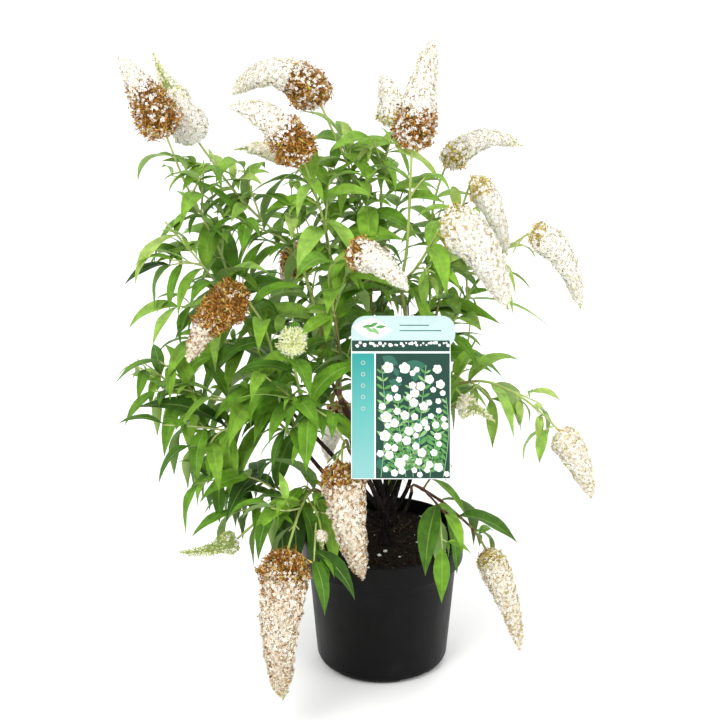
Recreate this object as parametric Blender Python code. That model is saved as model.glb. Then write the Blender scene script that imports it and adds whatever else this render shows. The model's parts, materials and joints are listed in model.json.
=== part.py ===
"""A white butterfly bush in a nursery pot, with its hanging plant label.

Metres, +Z up, front towards -Y. The origin is the middle of the pot's flat underside.
The bush is one short trunk, its boughs, and masses of foliage. Each mass is one node: a stem that
starts at its bough's tip, side twigs, leaves in opposite pairs and flower spikes, fused together.
"""

import math
import random
from typing import NamedTuple

import bmesh
import bpy
import numpy as np
from mathutils import Matrix, Vector
from mathutils.bvhtree import BVHTree

# The pot
RIM_RADIUS = 0.130
RIM_TOP = 0.2215
RIM_ROUND = 0.0015
RIM_EDGE = 0.0010
COLLAR_FOOT = 0.181
COLLAR_STEP = 0.0012
COLLAR_DRAFT = 0.0008
COLLAR_SHOULDER = 0.006
BODY_TOP_RADIUS = 0.119
FOOT_RADIUS = 0.104
CORNER_RADIUS = 0.013
CORNER_STEPS = 3
WALL = 0.0028
FLOOR = 0.010
FLOOR_CORNER = 0.005
LEDGE_RISE = 0.002
HOLLOW_DRAFT = 0.004
FOOT_NOTCHES = 4
FOOT_NOTCH_HEIGHT = 0.0065
FOOT_NOTCH_DEPTH = 0.022
FOOT_NOTCH_HALF_SPAN = math.radians(16)
FOOT_NOTCH_TURN = math.radians(32)
FOOT_NOTCH_STEPS = 4
POT_SIDES = 36

# The soil, and the gap that keeps touching pieces apart
SOIL_TOP = 0.204
SOIL_EDGE_DROP = 0.004
SOIL_RINGS = ((0.104, 0.001), (0.072, 0.0), (0.038, 0.0))
SOIL_LEVEL_RADIUS = 0.050
SOIL_UNEVEN = (-0.003, 0.001)
SOIL_SEED = 5
GAP = 0.0003

# The trunk and its boughs
TRUNK_FOOT = Vector((0.005, 0.002, SOIL_TOP + GAP))
TRUNK_RISE = Vector((-0.002, 0.002, 0.080))
TRUNK_RADIUS = 0.0085
TRUNK_TOP_RADIUS = 0.0070
TRUNK_FLARE = 0.0145
FLARE_POWER = 6
FLARE_RIBS = 3
FLARE_RIB_DEPTH = 0.30
TRUNK_SIDES = 10
TRUNK_STEPS = 6
STUB_CLEARANCE = 0.004
STUB_SWELL = 1.05
BOUGH_SIDES = 6
BOUGH_STEPS = 6
BOUGH_BEND = 0.45
BOUGH_TIP_RADIUS = 0.0028

# The leaves
INTERNODE = 0.037
LEAF_LENGTH = 0.138
LEAF_LENGTHS = (0.82, 1.12)
LEAF_SHRINK = 0.42
LEAF_WIDTH = 0.0420
LEAF_WIDTHS = (0.88, 1.12)
LEAF_WIDTH_POWER = 0.8
LEAF_LIFTS = (0.85, 1.25)
LEAF_BENDS = (0.75, 1.75)
LEAF_STEEPEST = 1.5
LEAF_ROLL = 0.5
LEAF_THICKNESS = 0.0018
LEAF_STEPS = 12
WIDEST_STEP = 5
THICKEST_STEP = 2
PAIR_GAPS = (0.88, 1.12)
PAIR_WOBBLE = 0.25
TIP_PAIR_LENGTHS = (0.85, 1.10)
TIP_PAIR_SINK = 0.003
TIP_PAIR_LIFT = 0.6

# The twigs
STEM_RADIUS = 0.0020
STEM_TIP_RADIUS = 0.00126
STEM_LEAD = 0.012
STEM_SPACING = 0.034
STEM_BARE_FOOT = 0.026
STEM_BARE_TIP = 0.014
STEM_TIP_LEAF = 0.70
TWIG_RADIUS = 0.0014
TWIG_TIP_RADIUS = 0.00084
TWIG_SHARE = 0.26
TWIG_REACH = 0.75
TWIG_LENGTH = 0.080
TWIG_LENGTHS = (0.70, 1.35)
TWIG_OUT = 0.52
TWIG_ALONG = 0.85
TWIG_RISES = (-0.12, 0.20)
TWIG_BEND = 0.55
TWIG_STEPS = 2
TWIG_BARE_FOOT = 0.030
TWIG_BARE_TIP = 0.018
TWIG_INTERNODE = 0.033
TWIG_LEAF = 0.78
TWIG_TIP_LEAF = 0.62
TWIG_SIDES = 3
FOOT_SPREAD = 1.08
AXIL = 0.005

# The space that a mass keeps to, and the whole crown's reach
SPACE_SLACK = 0.055
SPACE_STEPS = (4, 8, 12)
NEIGHBOUR_REACH = 0.16
FRONT_DEPTH = 0.16
LEAF_CLEARANCE = 0.0005
FREE_STEP = 2
CROWN_LEFT = -0.405
CROWN_RIGHT = 0.335
CROWN_FOOT = 0.020

# The flower spikes
SPIKE_SIDES = 7
SPIKE_RING = 0.023
SPIKE_STEPS = 10
SPIKE_BEND = 0.30
SPIKE_KNOBS = (0.94, 1.06)
SPIKE_FOOT_GIRTH = 0.38
SPIKE_SWELL = 0.14
SPIKE_TAPER = 0.80
SPIKE_TAPER_START = 0.12
SPIKE_TAPER_POWER = 1.2
SPIKE_CLOSE = 0.22
BUD_GIRTH = 0.50
BUD_NARROWING = 0.35
FLOWER_SKIN = 0.0025

# The label
LABEL_TOP = Vector((0.027, -0.105, 0.633))
LABEL_TILT = math.radians(24)
CARD_LEFT = -0.076
CARD_RIGHT = 0.072
CARD_HEIGHT = 0.243
CARD_THICKNESS = 0.0010
CARD_CORNER = 0.002
HEADER_RIGHT = 0.079
HEADER_HEIGHT = 0.048
HEADER_THICKNESS = 0.0022
HEADER_LEFT_TOP = 0.022
HEADER_LEFT_FOOT = 0.003
HEADER_RIGHT_END = 0.020
LOOP_BOUGH = "mid_right"
LOOP_BOUGH_TAPER = 0.70
LOOP_DROP = 0.024
LOOP_HEIGHT = 0.005
LOOP_WALL = 0.0010
LOOP_SLACK = 0.0008
LABEL_MARGIN = 0.004

# Colours and finish
POT_COLOUR = (0.018, 0.018, 0.020)
SOIL_COLOUR = (0.045, 0.030, 0.022)
BARK_COLOUR = (0.150, 0.095, 0.060)
LEAF_COLOUR = (0.130, 0.310, 0.055)
FLOWER_COLOUR = (0.860, 0.845, 0.740)
WITHERED_COLOUR = (0.330, 0.170, 0.070)
BUD_COLOUR = (0.430, 0.540, 0.250)
LABEL_COLOUR = (0.300, 0.620, 0.600)
SHARP_ANGLE = math.radians(40)
WELD = 1e-6

# The way that one looks at the plant from the front
UP = Vector((0, 0, 1))
SIGHT_FALL = math.radians(22.4)
SIGHT = Vector((0, math.cos(SIGHT_FALL), -math.sin(SIGHT_FALL)))


class Flower(NamedTuple):
    """A flower spike: the place of its foot and tip, its greatest width, the share of its length
    that is brown at the foot and green at the tip, and how far its middle is raised."""

    foot: tuple
    tip: tuple
    width: float
    brown: float
    green: float
    arch: float = 0.0


class Stem(NamedTuple):
    """A stem of a mass. It leaves the mass's first stem at a share of its length, passes through
    the places given, and ends in a flower spike, or in a tuft of leaves where flower is None."""

    start: float
    through: tuple
    flower: Flower


class Bough(NamedTuple):
    """A bough: how high on the trunk it leaves, its heading and rise there, and its tip."""

    height: float
    heading: float
    rise: float
    tip: tuple
    radius: float


BOUGHS = {
    "left_low": Bough(0.030, 196, 40, (-0.128, -0.054, 0.400), 0.0048),
    "left_high": Bough(0.047, 172, 50, (-0.150, 0.040, 0.420), 0.0046),
    "mid_left": Bough(0.060, 138, 62, (-0.080, 0.026, 0.470), 0.0044),
    "middle": Bough(0.074, 238, 68, (-0.062, -0.004, 0.450), 0.0044),
    "mid_back": Bough(0.062, 84, 60, (-0.014, 0.050, 0.470), 0.0044),
    "mid_right": Bough(0.070, 340, 68, (0.028, -0.012, 0.635), 0.0046),
    "right_back": Bough(0.050, 35, 58, (0.056, 0.052, 0.430), 0.0044),
    "right_low": Bough(0.036, 5, 52, (0.050, 0.002, 0.375), 0.0040),
    "right_foot": Bough(0.020, 330, 42, (0.046, -0.012, 0.298), 0.0034),
    "left_foot": Bough(0.022, 222, 36, (-0.098, -0.072, 0.325), 0.0040),
    "front_foot": Bough(0.040, 258, 50, (-0.048, -0.084, 0.395), 0.0038),
    "back_left": Bough(0.034, 120, 48, (-0.075, 0.100, 0.390), 0.0042),
    "back_right": Bough(0.026, 62, 44, (0.045, 0.120, 0.360), 0.0042),
}

MASSES = {
    "upper_left": ("left_high", (
        Stem(0, ((-0.185, 0.044, 0.490), (-0.215, 0.040, 0.566), (-0.252, 0.030, 0.689),
                 (-0.296, 0.020, 0.790)),
             Flower((-0.326, 0.000, 0.884), (-0.389, -0.010, 1.004), 0.068, 0.62, 0.0)),
        Stem(0.40, ((-0.259, -0.010, 0.656), (-0.284, -0.024, 0.697), (-0.328, -0.030, 0.755)), None),
    )),
    "upper_middle": ("mid_left", (
        Stem(0, ((-0.100, 0.030, 0.570), (-0.118, 0.032, 0.640), (-0.145, 0.042, 0.690),
                 (-0.198, 0.050, 0.742), (-0.232, 0.052, 0.782)),
             Flower((-0.282, 0.060, 0.853), (-0.347, 0.080, 0.985), 0.064, 0.0, 0.42)),
    )),
    "top_centre": ("middle", (
        Stem(0, ((-0.070, -0.004, 0.550), (-0.076, -0.002, 0.640), (-0.086, 0.000, 0.722),
                 (-0.105, -0.010, 0.800)),
             Flower((-0.121, -0.020, 0.848), (-0.228, -0.040, 0.934), 0.066, 0.42, 0.0, 0.030)),
        Stem(0.55, ((-0.100, 0.050, 0.760),),
             Flower((-0.141, 0.100, 0.811), (-0.231, 0.120, 0.821), 0.036, 0.15, 0.25)),
    )),
    "top_back": ("mid_back", (
        Stem(0, ((-0.018, 0.058, 0.580), (-0.022, 0.062, 0.680), (-0.033, 0.066, 0.743),
                 (-0.050, 0.074, 0.800), (-0.077, 0.080, 0.862)),
             Flower((-0.096, 0.080, 0.905), (-0.230, 0.090, 0.918), 0.066, 0.38, 0.0, 0.050)),
    )),
    "top_right_back": ("mid_back", (
        Stem(0, ((-0.002, 0.076, 0.580), (-0.001, 0.090, 0.680), (-0.002, 0.100, 0.780)),
             Flower((0.016, 0.115, 0.862), (-0.005, 0.150, 0.934), 0.055, 0.25, 0.0)),
    )),
    "top_right": ("mid_right", (
        Stem(0, ((0.034, -0.004, 0.690), (0.038, 0.000, 0.750), (0.040, 0.000, 0.810)),
             Flower((0.042, 0.000, 0.862), (0.075, 0.020, 1.027), 0.066, 0.34, 0.0)),
    )),
    "front_middle": ("middle", (
        Stem(0, ((-0.066, -0.034, 0.540), (-0.078, -0.066, 0.640), (-0.080, -0.095, 0.705)),
             Flower((-0.050, -0.120, 0.738), (0.034, -0.170, 0.698), 0.052, 0.22, 0.0)),
    )),
    "right_shoulder": ("mid_right", (
        Stem(0, ((0.048, -0.030, 0.680), (0.070, -0.048, 0.725)),
             Flower((0.088, -0.050, 0.758), (0.186, -0.085, 0.636), 0.075, 0.12, 0.06)),
    )),
    "right_high": ("right_back", (
        Stem(0, ((0.062, 0.076, 0.530), (0.070, 0.092, 0.640), (0.080, 0.112, 0.740)),
             Flower((0.098, 0.120, 0.795), (0.218, 0.140, 0.820), 0.046, 0.26, 0.08, 0.025)),
    )),
    "right_arch": ("right_back", (
        Stem(0, ((0.076, 0.056, 0.530), (0.094, 0.056, 0.630), (0.112, 0.050, 0.720)),
             Flower((0.132, 0.052, 0.786), (0.192, 0.052, 0.672), 0.046, 0.16, 0.0)),
    )),
    "right_far": ("right_back", (
        Stem(0, ((0.090, 0.066, 0.510), (0.135, 0.076, 0.600), (0.187, 0.070, 0.672)),
             Flower((0.228, 0.060, 0.706), (0.307, 0.036, 0.589), 0.052, 0.12, 0.06)),
    )),
    "left_middle": ("left_low", (
        Stem(0, ((-0.147, -0.048, 0.470), (-0.166, -0.062, 0.545), (-0.182, -0.068, 0.606)),
             Flower((-0.208, -0.080, 0.652), (-0.292, -0.130, 0.569), 0.064, 0.58, 0.0)),
    )),
    "left_low": ("left_low", (
        Stem(0, ((-0.168, -0.064, 0.448), (-0.234, -0.062, 0.474), (-0.300, -0.046, 0.480),
                 (-0.345, -0.036, 0.496)), None),
        Stem(0.30, ((-0.250, -0.100, 0.440), (-0.280, -0.130, 0.400)), None),
    )),
    "front_left": ("left_low", (
        Stem(0, ((-0.118, -0.096, 0.462), (-0.134, -0.130, 0.560)),
             Flower((-0.136, -0.165, 0.615), (-0.129, -0.235, 0.625), 0.050, 0.0, 0.2)),
        Stem(0.35, ((-0.110, -0.150, 0.505), (-0.085, -0.175, 0.500)), None),
    )),
    "right_spray": ("right_low", (
        Stem(0, ((0.072, 0.008, 0.430), (0.097, 0.010, 0.462), (0.125, 0.014, 0.474),
                 (0.165, 0.012, 0.476), (0.211, 0.002, 0.458), (0.247, -0.008, 0.433)),
             Flower((0.276, -0.018, 0.405), (0.327, -0.050, 0.304), 0.054, 0.0, 0.0)),
    )),
    "right_inner": ("right_low", (
        Stem(0, ((0.072, -0.024, 0.430),),
             Flower((0.116, -0.044, 0.462), (0.172, -0.060, 0.440), 0.042, 0.0, 0.75)),
    )),
    "right_foot": ("right_foot", (
        Stem(0, ((0.090, -0.030, 0.292), (0.117, -0.040, 0.272), (0.144, -0.050, 0.248)),
             Flower((0.164, -0.060, 0.218), (0.218, -0.100, 0.062), 0.052, 0.10, 0.0)),
        Stem(0.20, ((0.080, -0.075, 0.312), (0.098, -0.100, 0.300)), None),
    )),
    "left_foot": ("left_foot", (
        Stem(0, ((-0.150, -0.088, 0.322), (-0.190, -0.104, 0.296)),
             Flower((-0.226, -0.118, 0.268), (-0.314, -0.140, 0.257), 0.052, 0.0, 1.0)),
        Stem(0.34, ((-0.190, -0.060, 0.350), (-0.240, -0.062, 0.352)), None),
    )),
    "front_left_foot": ("left_foot", (
        Stem(0, ((-0.112, -0.120, 0.350), (-0.128, -0.175, 0.342)),
             Flower((-0.144, -0.220, 0.300), (-0.153, -0.250, 0.061), 0.080, 0.16, 0.03)),
        Stem(0.42, ((-0.100, -0.160, 0.330),),
             Flower((-0.094, -0.185, 0.315), (-0.092, -0.205, 0.292), 0.022, 0.0, 0.5)),
    )),
    "front_foot": ("front_foot", (
        Stem(0, ((-0.056, -0.120, 0.436), (-0.062, -0.145, 0.438)),
             Flower((-0.063, -0.164, 0.418), (-0.031, -0.190, 0.237), 0.071, 0.16, 0.0)),
    )),
    "back_left": ("back_left", (
        Stem(0, ((-0.100, 0.136, 0.470), (-0.118, 0.180, 0.560)),
             Flower((-0.130, 0.232, 0.600), (-0.160, 0.330, 0.500), 0.060, 0.30, 0.0)),
        Stem(0.30, ((-0.170, 0.170, 0.500), (-0.230, 0.190, 0.530)), None),
    )),
    "back_middle": ("back_left", (
        Stem(0, ((-0.062, 0.140, 0.470), (-0.036, 0.200, 0.570)),
             Flower((-0.022, 0.240, 0.610), (0.000, 0.330, 0.520), 0.056, 0.20, 0.1)),
    )),
    "back_right": ("back_right", (
        Stem(0, ((0.075, 0.160, 0.420), (0.085, 0.195, 0.460)),
             Flower((0.088, 0.222, 0.462), (0.105, 0.290, 0.352), 0.054, 0.15, 0.0)),
        Stem(0.35, ((0.120, 0.130, 0.450), (0.150, 0.130, 0.500)), None),
    )),
    "back_low": ("back_right", (
        Stem(0, ((0.010, 0.160, 0.380), (-0.030, 0.200, 0.370)),
             Flower((-0.060, 0.225, 0.340), (-0.090, 0.270, 0.220), 0.050, 0.25, 0.0)),
        Stem(0.30, ((0.020, 0.200, 0.330), (0.045, 0.235, 0.300)), None),
    )),
}


class Leaf(NamedTuple):
    """A leaf: its root, heading (a level unit vector), pitch at the root, how far it bends down,
    its length, width and roll about its own line."""

    root: Vector
    heading: Vector
    pitch: float
    bend: float
    length: float
    width: float
    roll: float


class Twig(NamedTuple):
    """A stem or side twig: its line and its radius at both ends."""

    line: list
    foot_radius: float
    tip_radius: float


class Shoot(NamedTuple):
    """A twig with its leaves. Of its leaves, only those that find room are built."""

    twig: Twig
    leaves: list


class Growth(NamedTuple):
    """All that one mass may hold: its stems, the side twigs, and each flower with its axis."""

    stems: list
    side_shoots: list
    flowers: list


def bezier(a, b, c, t):
    return a * (1 - t) ** 2 + b * 2 * t * (1 - t) + c * t * t


def smooth_line(places, spacing):
    """A Catmull-Rom curve through the places, as points about one spacing apart."""
    ends = [places[0] * 2 - places[1], *places, places[-1] * 2 - places[-2]]
    line = [places[0]]
    for i in range(1, len(ends) - 2):
        a, b, c, d = ends[i - 1 : i + 3]
        steps = max(1, round((c - b).length / spacing))
        for k in range(1, steps + 1):
            t = k / steps
            line.append(
                (b * 2 + (c - a) * t + (a * 2 - b * 5 + c * 4 - d) * t**2
                 + (b * 3 - a - c * 3 + d) * t**3) * 0.5
            )
    return line


def lengths_along(line):
    total = [0.0]
    for a, b in zip(line, line[1:]):
        total.append(total[-1] + (b - a).length)
    return total


def place_along(line, distance):
    """(point, direction) at a distance along a line."""
    totals = lengths_along(line)
    distance = min(max(distance, 0.0), totals[-1])
    i = max(1, next(k for k, total in enumerate(totals) if total >= distance - 1e-9))
    a, b = line[i - 1], line[i]
    share = (distance - totals[i - 1]) / (totals[i] - totals[i - 1])
    return a.lerp(b, share), (b - a).normalized()


def bough_start(bough):
    """(the place on the trunk's axis, the direction) where a bough leaves."""
    heading, rise = math.radians(bough.heading), math.radians(bough.rise)
    out = Vector(
        (math.cos(heading) * math.cos(rise), math.sin(heading) * math.cos(rise), math.sin(rise))
    )
    return TRUNK_FOOT + TRUNK_RISE * (bough.height / TRUNK_RISE.z), out


def stub_length(bough):
    """How far a stub reaches, so that its end stands clear of the trunk's side or top."""
    start, out = bough_start(bough)
    rise = math.radians(bough.rise)
    side = (TRUNK_RADIUS + bough.radius * math.sin(rise) + STUB_CLEARANCE) / math.cos(rise)
    trunk_top = TRUNK_FOOT.z + TRUNK_RISE.z
    top = (trunk_top - start.z + bough.radius * math.cos(rise) + STUB_CLEARANCE) / math.sin(rise)
    return min(side, top)


def bough_line(bough):
    """The line of a bough, from just past its stub on the trunk to its tip."""
    start, out = bough_start(bough)
    foot = start + out * (stub_length(bough) + GAP)
    tip = Vector(bough.tip)
    middle = foot + out * ((tip - foot).length * BOUGH_BEND)
    return [bezier(foot, middle, tip, k / BOUGH_STEPS) for k in range(BOUGH_STEPS + 1)]


def flower_line(flower, direction):
    """The axis of a flower spike: it leaves its foot the way that its stem points, and bends to its tip."""
    foot, tip = Vector(flower.foot), Vector(flower.tip)
    chord = (tip - foot).length
    middle = foot.lerp(tip, SPIKE_BEND) + direction * (chord * SPIKE_BEND) + UP * flower.arch
    return [bezier(foot, middle, tip, k / SPIKE_STEPS) for k in range(SPIKE_STEPS + 1)]


def flower_girth(share, green):
    """The radius of a flower spike at a share of its length, as a share of its greatest. It is
    slender where it is still in bud, over the green share at its tip."""
    swell = min(1.0, SPIKE_FOOT_GIRTH + (1 - SPIKE_FOOT_GIRTH) * math.sqrt(share / SPIKE_SWELL))
    taper = 1 - SPIKE_TAPER * max(0.0, share - SPIKE_TAPER_START) ** SPIKE_TAPER_POWER
    close = math.sqrt(max(0.0, 1 - max(0.0, 1 - (1 - share) / SPIKE_CLOSE) ** 2))
    in_bud = (share - 1 + green) / (green * BUD_NARROWING) if green else 0.0
    buds = 1 - (1 - BUD_GIRTH) * max(0.0, min(1.0, in_bud))
    return swell * taper * close * buds


def leaf_at(rng, root, direction, along, length, lift):
    """A leaf in the axis of a stem: it points out and along the stem, then bends down."""
    out = (direction * math.sin(lift) + along * math.cos(lift)).normalized()
    level = Vector((out.x, out.y, 0))
    if level.length < 0.15:
        level = Vector((direction.x, direction.y, 0))
    if level.length < 1e-3:
        level = Vector((1, 0, 0))
    pitch = math.asin(max(-1, min(1, out.z)))
    bend = rng.uniform(*LEAF_BENDS)
    width = LEAF_WIDTH * (length / LEAF_LENGTH) ** LEAF_WIDTH_POWER * rng.uniform(*LEAF_WIDTHS)
    roll = rng.uniform(-LEAF_ROLL, LEAF_ROLL)
    return Leaf(root, level.normalized(), pitch, bend, length, width, roll)


def pairs_along(rng, line, first, last, gap, length):
    """Opposite pairs of leaves along a line, each pair turned a right angle from the last. It gives
    (leaf, its place, the way that it points out, the stem's own direction)."""
    total = lengths_along(line)[-1]
    turn = rng.uniform(0, math.pi)
    found, distance = [], first
    while distance <= total - last:
        place, along = place_along(line, distance)
        side = along.cross(UP)
        side = side.normalized() if side.length > 0.2 else Vector((1, 0, 0))
        other = along.cross(side).normalized()
        share = distance / total
        for way in (0, math.pi):
            angle = turn + way + rng.uniform(-PAIR_WOBBLE, PAIR_WOBBLE)
            out = side * math.cos(angle) + other * math.sin(angle)
            size = length * (1 - LEAF_SHRINK * share**2) * rng.uniform(*LEAF_LENGTHS)
            leaf = leaf_at(rng, place, out, along, size, rng.uniform(*LEAF_LIFTS))
            found.append((leaf, place, out, along))
        turn += math.pi / 2
        distance += gap * rng.uniform(*PAIR_GAPS)
    return found


def tip_pair(rng, line, length):
    """The pair of small leaves at the tip of a stem or twig."""
    place, along = place_along(line, lengths_along(line)[-1] - TIP_PAIR_SINK)
    side = along.orthogonal().normalized()
    other = along.cross(side)
    turn = rng.uniform(0, math.pi)
    found = []
    for way in (0, math.pi):
        out = side * math.cos(turn + way) + other * math.sin(turn + way)
        size = length * rng.uniform(*TIP_PAIR_LENGTHS)
        found.append(leaf_at(rng, place, out, along, size, TIP_PAIR_LIFT))
    return found


def side_twig(rng, place, out, along):
    """The line of a side twig. It starts in a leaf's axil, just above the leaf."""
    length = TWIG_LENGTH * rng.uniform(*TWIG_LENGTHS)
    away = (out * TWIG_OUT + along * TWIG_ALONG).normalized()
    start = place + along * AXIL
    middle = start + away * (length * TWIG_BEND)
    end = start + away * length + UP * (length * rng.uniform(*TWIG_RISES))
    return [bezier(start, middle, end, k / TWIG_STEPS) for k in range(TWIG_STEPS + 1)]


def stem_lines(bough_name, stems, offset):
    """The line of each stem of a mass, and of the axis of its flower, or None."""
    tip_line = bough_line(BOUGHS[bough_name])
    along = (tip_line[-1] - tip_line[-2]).normalized()
    lines = []
    for k, stem in enumerate(stems):
        if k == 0:
            start = tip_line[-1] + along * GAP + offset
            places = [start, start + along * STEM_LEAD]
        else:
            start, _ = place_along(lines[0][0], stem.start * lengths_along(lines[0][0])[-1])
            places = [start]
        places += [Vector(p) for p in stem.through]
        if stem.flower:
            places.append(Vector(stem.flower.foot))
        line = smooth_line(places, STEM_SPACING)
        axis = flower_line(stem.flower, (line[-1] - line[-2]).normalized()) if stem.flower else None
        lines.append((line, axis))
    return lines


def foot_offset(name):
    """How far a mass's stem stands off the middle of its bough's tip. Stems that share a tip stand
    evenly round it, in the order of the ways that they go."""
    bough = MASSES[name][0]
    sharing = [other for other in MASSES if MASSES[other][0] == bough]
    if len(sharing) == 1:
        return Vector((0, 0, 0))
    line = bough_line(BOUGHS[bough])
    along = (line[-1] - line[-2]).normalized()
    side = along.orthogonal().normalized()
    other_side = along.cross(side)

    def bearing(mass):
        aim = Vector(MASSES[mass][1][0].through[0]) - line[-1]
        return math.atan2(aim.dot(other_side), aim.dot(side))

    sharing.sort(key=bearing)
    turns = [bearing(mass) - math.tau * k / len(sharing) for k, mass in enumerate(sharing)]
    first = math.atan2(sum(map(math.sin, turns)), sum(map(math.cos, turns)))
    angle = first + math.tau * sharing.index(name) / len(sharing)
    distance = (STEM_RADIUS * FOOT_SPREAD + GAP) / math.sin(math.pi / len(sharing))
    return (side * math.cos(angle) + other_side * math.sin(angle)) * distance


def grow(name, seed):
    """The stems, side twigs, leaves and flowers of one mass, by a seeded rule."""
    rng = random.Random(seed)
    bough, stems = MASSES[name]
    growth = Growth([], [], [])
    for k, (line, axis) in enumerate(stem_lines(bough, stems, foot_offset(name))):
        leaves = []
        if axis:
            growth.flowers.append((axis, stems[k].flower))
        else:
            leaves += tip_pair(rng, line, LEAF_LENGTH * STEM_TIP_LEAF)
        pairs = pairs_along(rng, line, STEM_BARE_FOOT, STEM_BARE_TIP, INTERNODE, LEAF_LENGTH)
        for leaf, place, out, along in pairs:
            leaves.append(leaf)
            height = (place - line[0]).length / (line[-1] - line[0]).length
            if rng.random() < TWIG_SHARE and height < TWIG_REACH:
                growth.side_shoots.append(side_shoot(rng, place, out, along))
        whole = line + [axis[1]] if axis else line
        foot_radius = STEM_RADIUS if k == 0 else TWIG_RADIUS
        growth.stems.append(Shoot(Twig(whole, foot_radius, STEM_TIP_RADIUS), leaves))
    return growth


def side_shoot(rng, place, out, along):
    """A side twig from a leaf's axil, with a pair of leaves on the way and a tuft at its tip."""
    line = side_twig(rng, place, out, along)
    length = LEAF_LENGTH * TWIG_LEAF
    pairs = pairs_along(rng, line, TWIG_BARE_FOOT, TWIG_BARE_TIP, TWIG_INTERNODE, length)
    leaves = [found[0] for found in pairs]
    leaves += tip_pair(rng, line, LEAF_LENGTH * TWIG_TIP_LEAF)
    return Shoot(Twig(line, TWIG_RADIUS, TWIG_TIP_RADIUS), leaves)


def leaf_frames(leaf):
    """(point, direction, side, normal) at each step along a leaf, from its root to its tip."""
    level_side = leaf.heading.cross(UP)
    point, frames = leaf.root.copy(), []
    for i in range(LEAF_STEPS + 1):
        pitch = max(leaf.pitch - leaf.bend * (i / LEAF_STEPS), -LEAF_STEEPEST)
        ahead = leaf.heading * math.cos(pitch) + UP * math.sin(pitch)
        normal = level_side.cross(ahead)
        side = level_side * math.cos(leaf.roll) + normal * math.sin(leaf.roll)
        frames.append((point.copy(), ahead, side, side.cross(ahead)))
        point += ahead * (leaf.length / LEAF_STEPS)
    return frames


def spans_of(growth):
    """The stems and flowers of a mass as rows of (start, end, radius)."""
    rows = []
    for shoot in growth.stems:
        for a, b in zip(shoot.twig.line, shoot.twig.line[1:]):
            rows.append((*a, *b, shoot.twig.foot_radius))
    for axis, flower in growth.flowers:
        for k, (a, b) in enumerate(zip(axis, axis[1:])):
            share = (k + 0.5) / (len(axis) - 1)
            rows.append((*a, *b, flower.width / 2 * flower_girth(share, flower.green)))
    return np.array(rows)


def span_distances(points, spans):
    """How far each point lies from the surface of each span."""
    a, b, radius = spans[:, :3], spans[:, 3:6], spans[:, 6]
    along = b - a
    share = ((points[:, None] - a) * along).sum(2) / np.maximum((along**2).sum(1), 1e-12)
    nearest = a + along * np.clip(share, 0, 1)[:, :, None]
    return np.linalg.norm(points[:, None] - nearest, axis=2) - radius


def distances(points, spans):
    """How far each point lies from the nearest of the spans' surfaces."""
    return span_distances(points, spans).min(1)


def skin(rings):
    """A closed body over rings of points, from its foot to its tip."""
    sides = len(rings[0])
    points, faces = [point for ring in rings for point in ring], []
    for i in range(len(rings) - 1):
        for k in range(sides):
            a, b = i * sides + k, i * sides + (k + 1) % sides
            faces.append((a, b, b + sides, a + sides))
    faces.append(tuple(reversed(range(sides))))
    faces.append(tuple(range(len(points) - sides, len(points))))
    return points, faces


def tube(line, foot_radius, tip_radius, sides):
    """A closed tapering tube along a line, as vertices and faces."""
    totals = lengths_along(line)
    ahead = (line[1] - line[0]).normalized()
    side = ahead.orthogonal().normalized()
    rings = []
    for i, place in enumerate(line):
        before, after = line[max(i - 1, 0)], line[min(i + 1, len(line) - 1)]
        turned_ahead = (after - before).normalized()
        side = ahead.rotation_difference(turned_ahead) @ side
        ahead = turned_ahead
        radius = foot_radius + (tip_radius - foot_radius) * totals[i] / totals[-1]
        spokes = [Matrix.Rotation(math.tau * k / sides, 3, ahead) @ side for k in range(sides)]
        rings.append([place + spoke * radius for spoke in spokes])
    return skin(rings)


def leaf_solid(leaf, margin=0.0, first_step=0):
    """A leaf of eight faces, thickest near its root and widest before its middle. Its root is in the
    middle of its stem. With a margin it is that much fatter all round."""
    frames = leaf_frames(leaf)
    root = frames[first_step][0]
    thickest, _, _, normal = frames[max(THICKEST_STEP, first_step + 1)]
    widest, _, side, _ = frames[WIDEST_STEP]
    tip, tip_ahead, _, _ = frames[LEAF_STEPS]
    half_width = leaf.width / 2 + margin
    half_thickness = LEAF_THICKNESS / 2 + margin
    rim = [widest + side * half_width, thickest + normal * half_thickness,
           widest - side * half_width, thickest - normal * half_thickness]
    points = [root, *rim, tip + tip_ahead * margin]
    faces = []
    for k in range(4):
        a, b = 1 + k, 1 + (k + 1) % 4
        faces.append((0, a, b))
        faces.append((5, b, a))
    return points, faces


def spike_solid(axis, flower, rng):
    """A flower spike: a knobbly tapering body along its axis."""
    length = lengths_along(axis)[-1]
    rings = max(4, round(length / SPIKE_RING))
    points, faces = [axis[0]], []
    ahead = (axis[1] - axis[0]).normalized()
    side = ahead.orthogonal().normalized()
    for i in range(rings):
        share = i / rings
        place, turned_ahead = place_along(axis, share * length)
        side = ahead.rotation_difference(turned_ahead) @ side
        ahead = turned_ahead
        for k in range(SPIKE_SIDES):
            girth = flower.width / 2 * flower_girth(share, flower.green)
            radius = girth * rng.uniform(*SPIKE_KNOBS)
            angle = math.tau * (k + 0.5 * (i % 2)) / SPIKE_SIDES
            points.append(place + Matrix.Rotation(angle, 3, ahead) @ side * radius)
    points.append(axis[-1])
    last = len(points) - 1
    for k in range(SPIKE_SIDES):
        after = (k + 1) % SPIKE_SIDES
        faces.append((0, 1 + after, 1 + k))
        for i in range(rings - 1):
            a, b = 1 + i * SPIKE_SIDES + k, 1 + i * SPIKE_SIDES + after
            faces.append((a, b, b + SPIKE_SIDES, a + SPIKE_SIDES))
        faces.append((last, last - SPIKE_SIDES + k, last - SPIKE_SIDES + after))
    return points, faces


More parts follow.
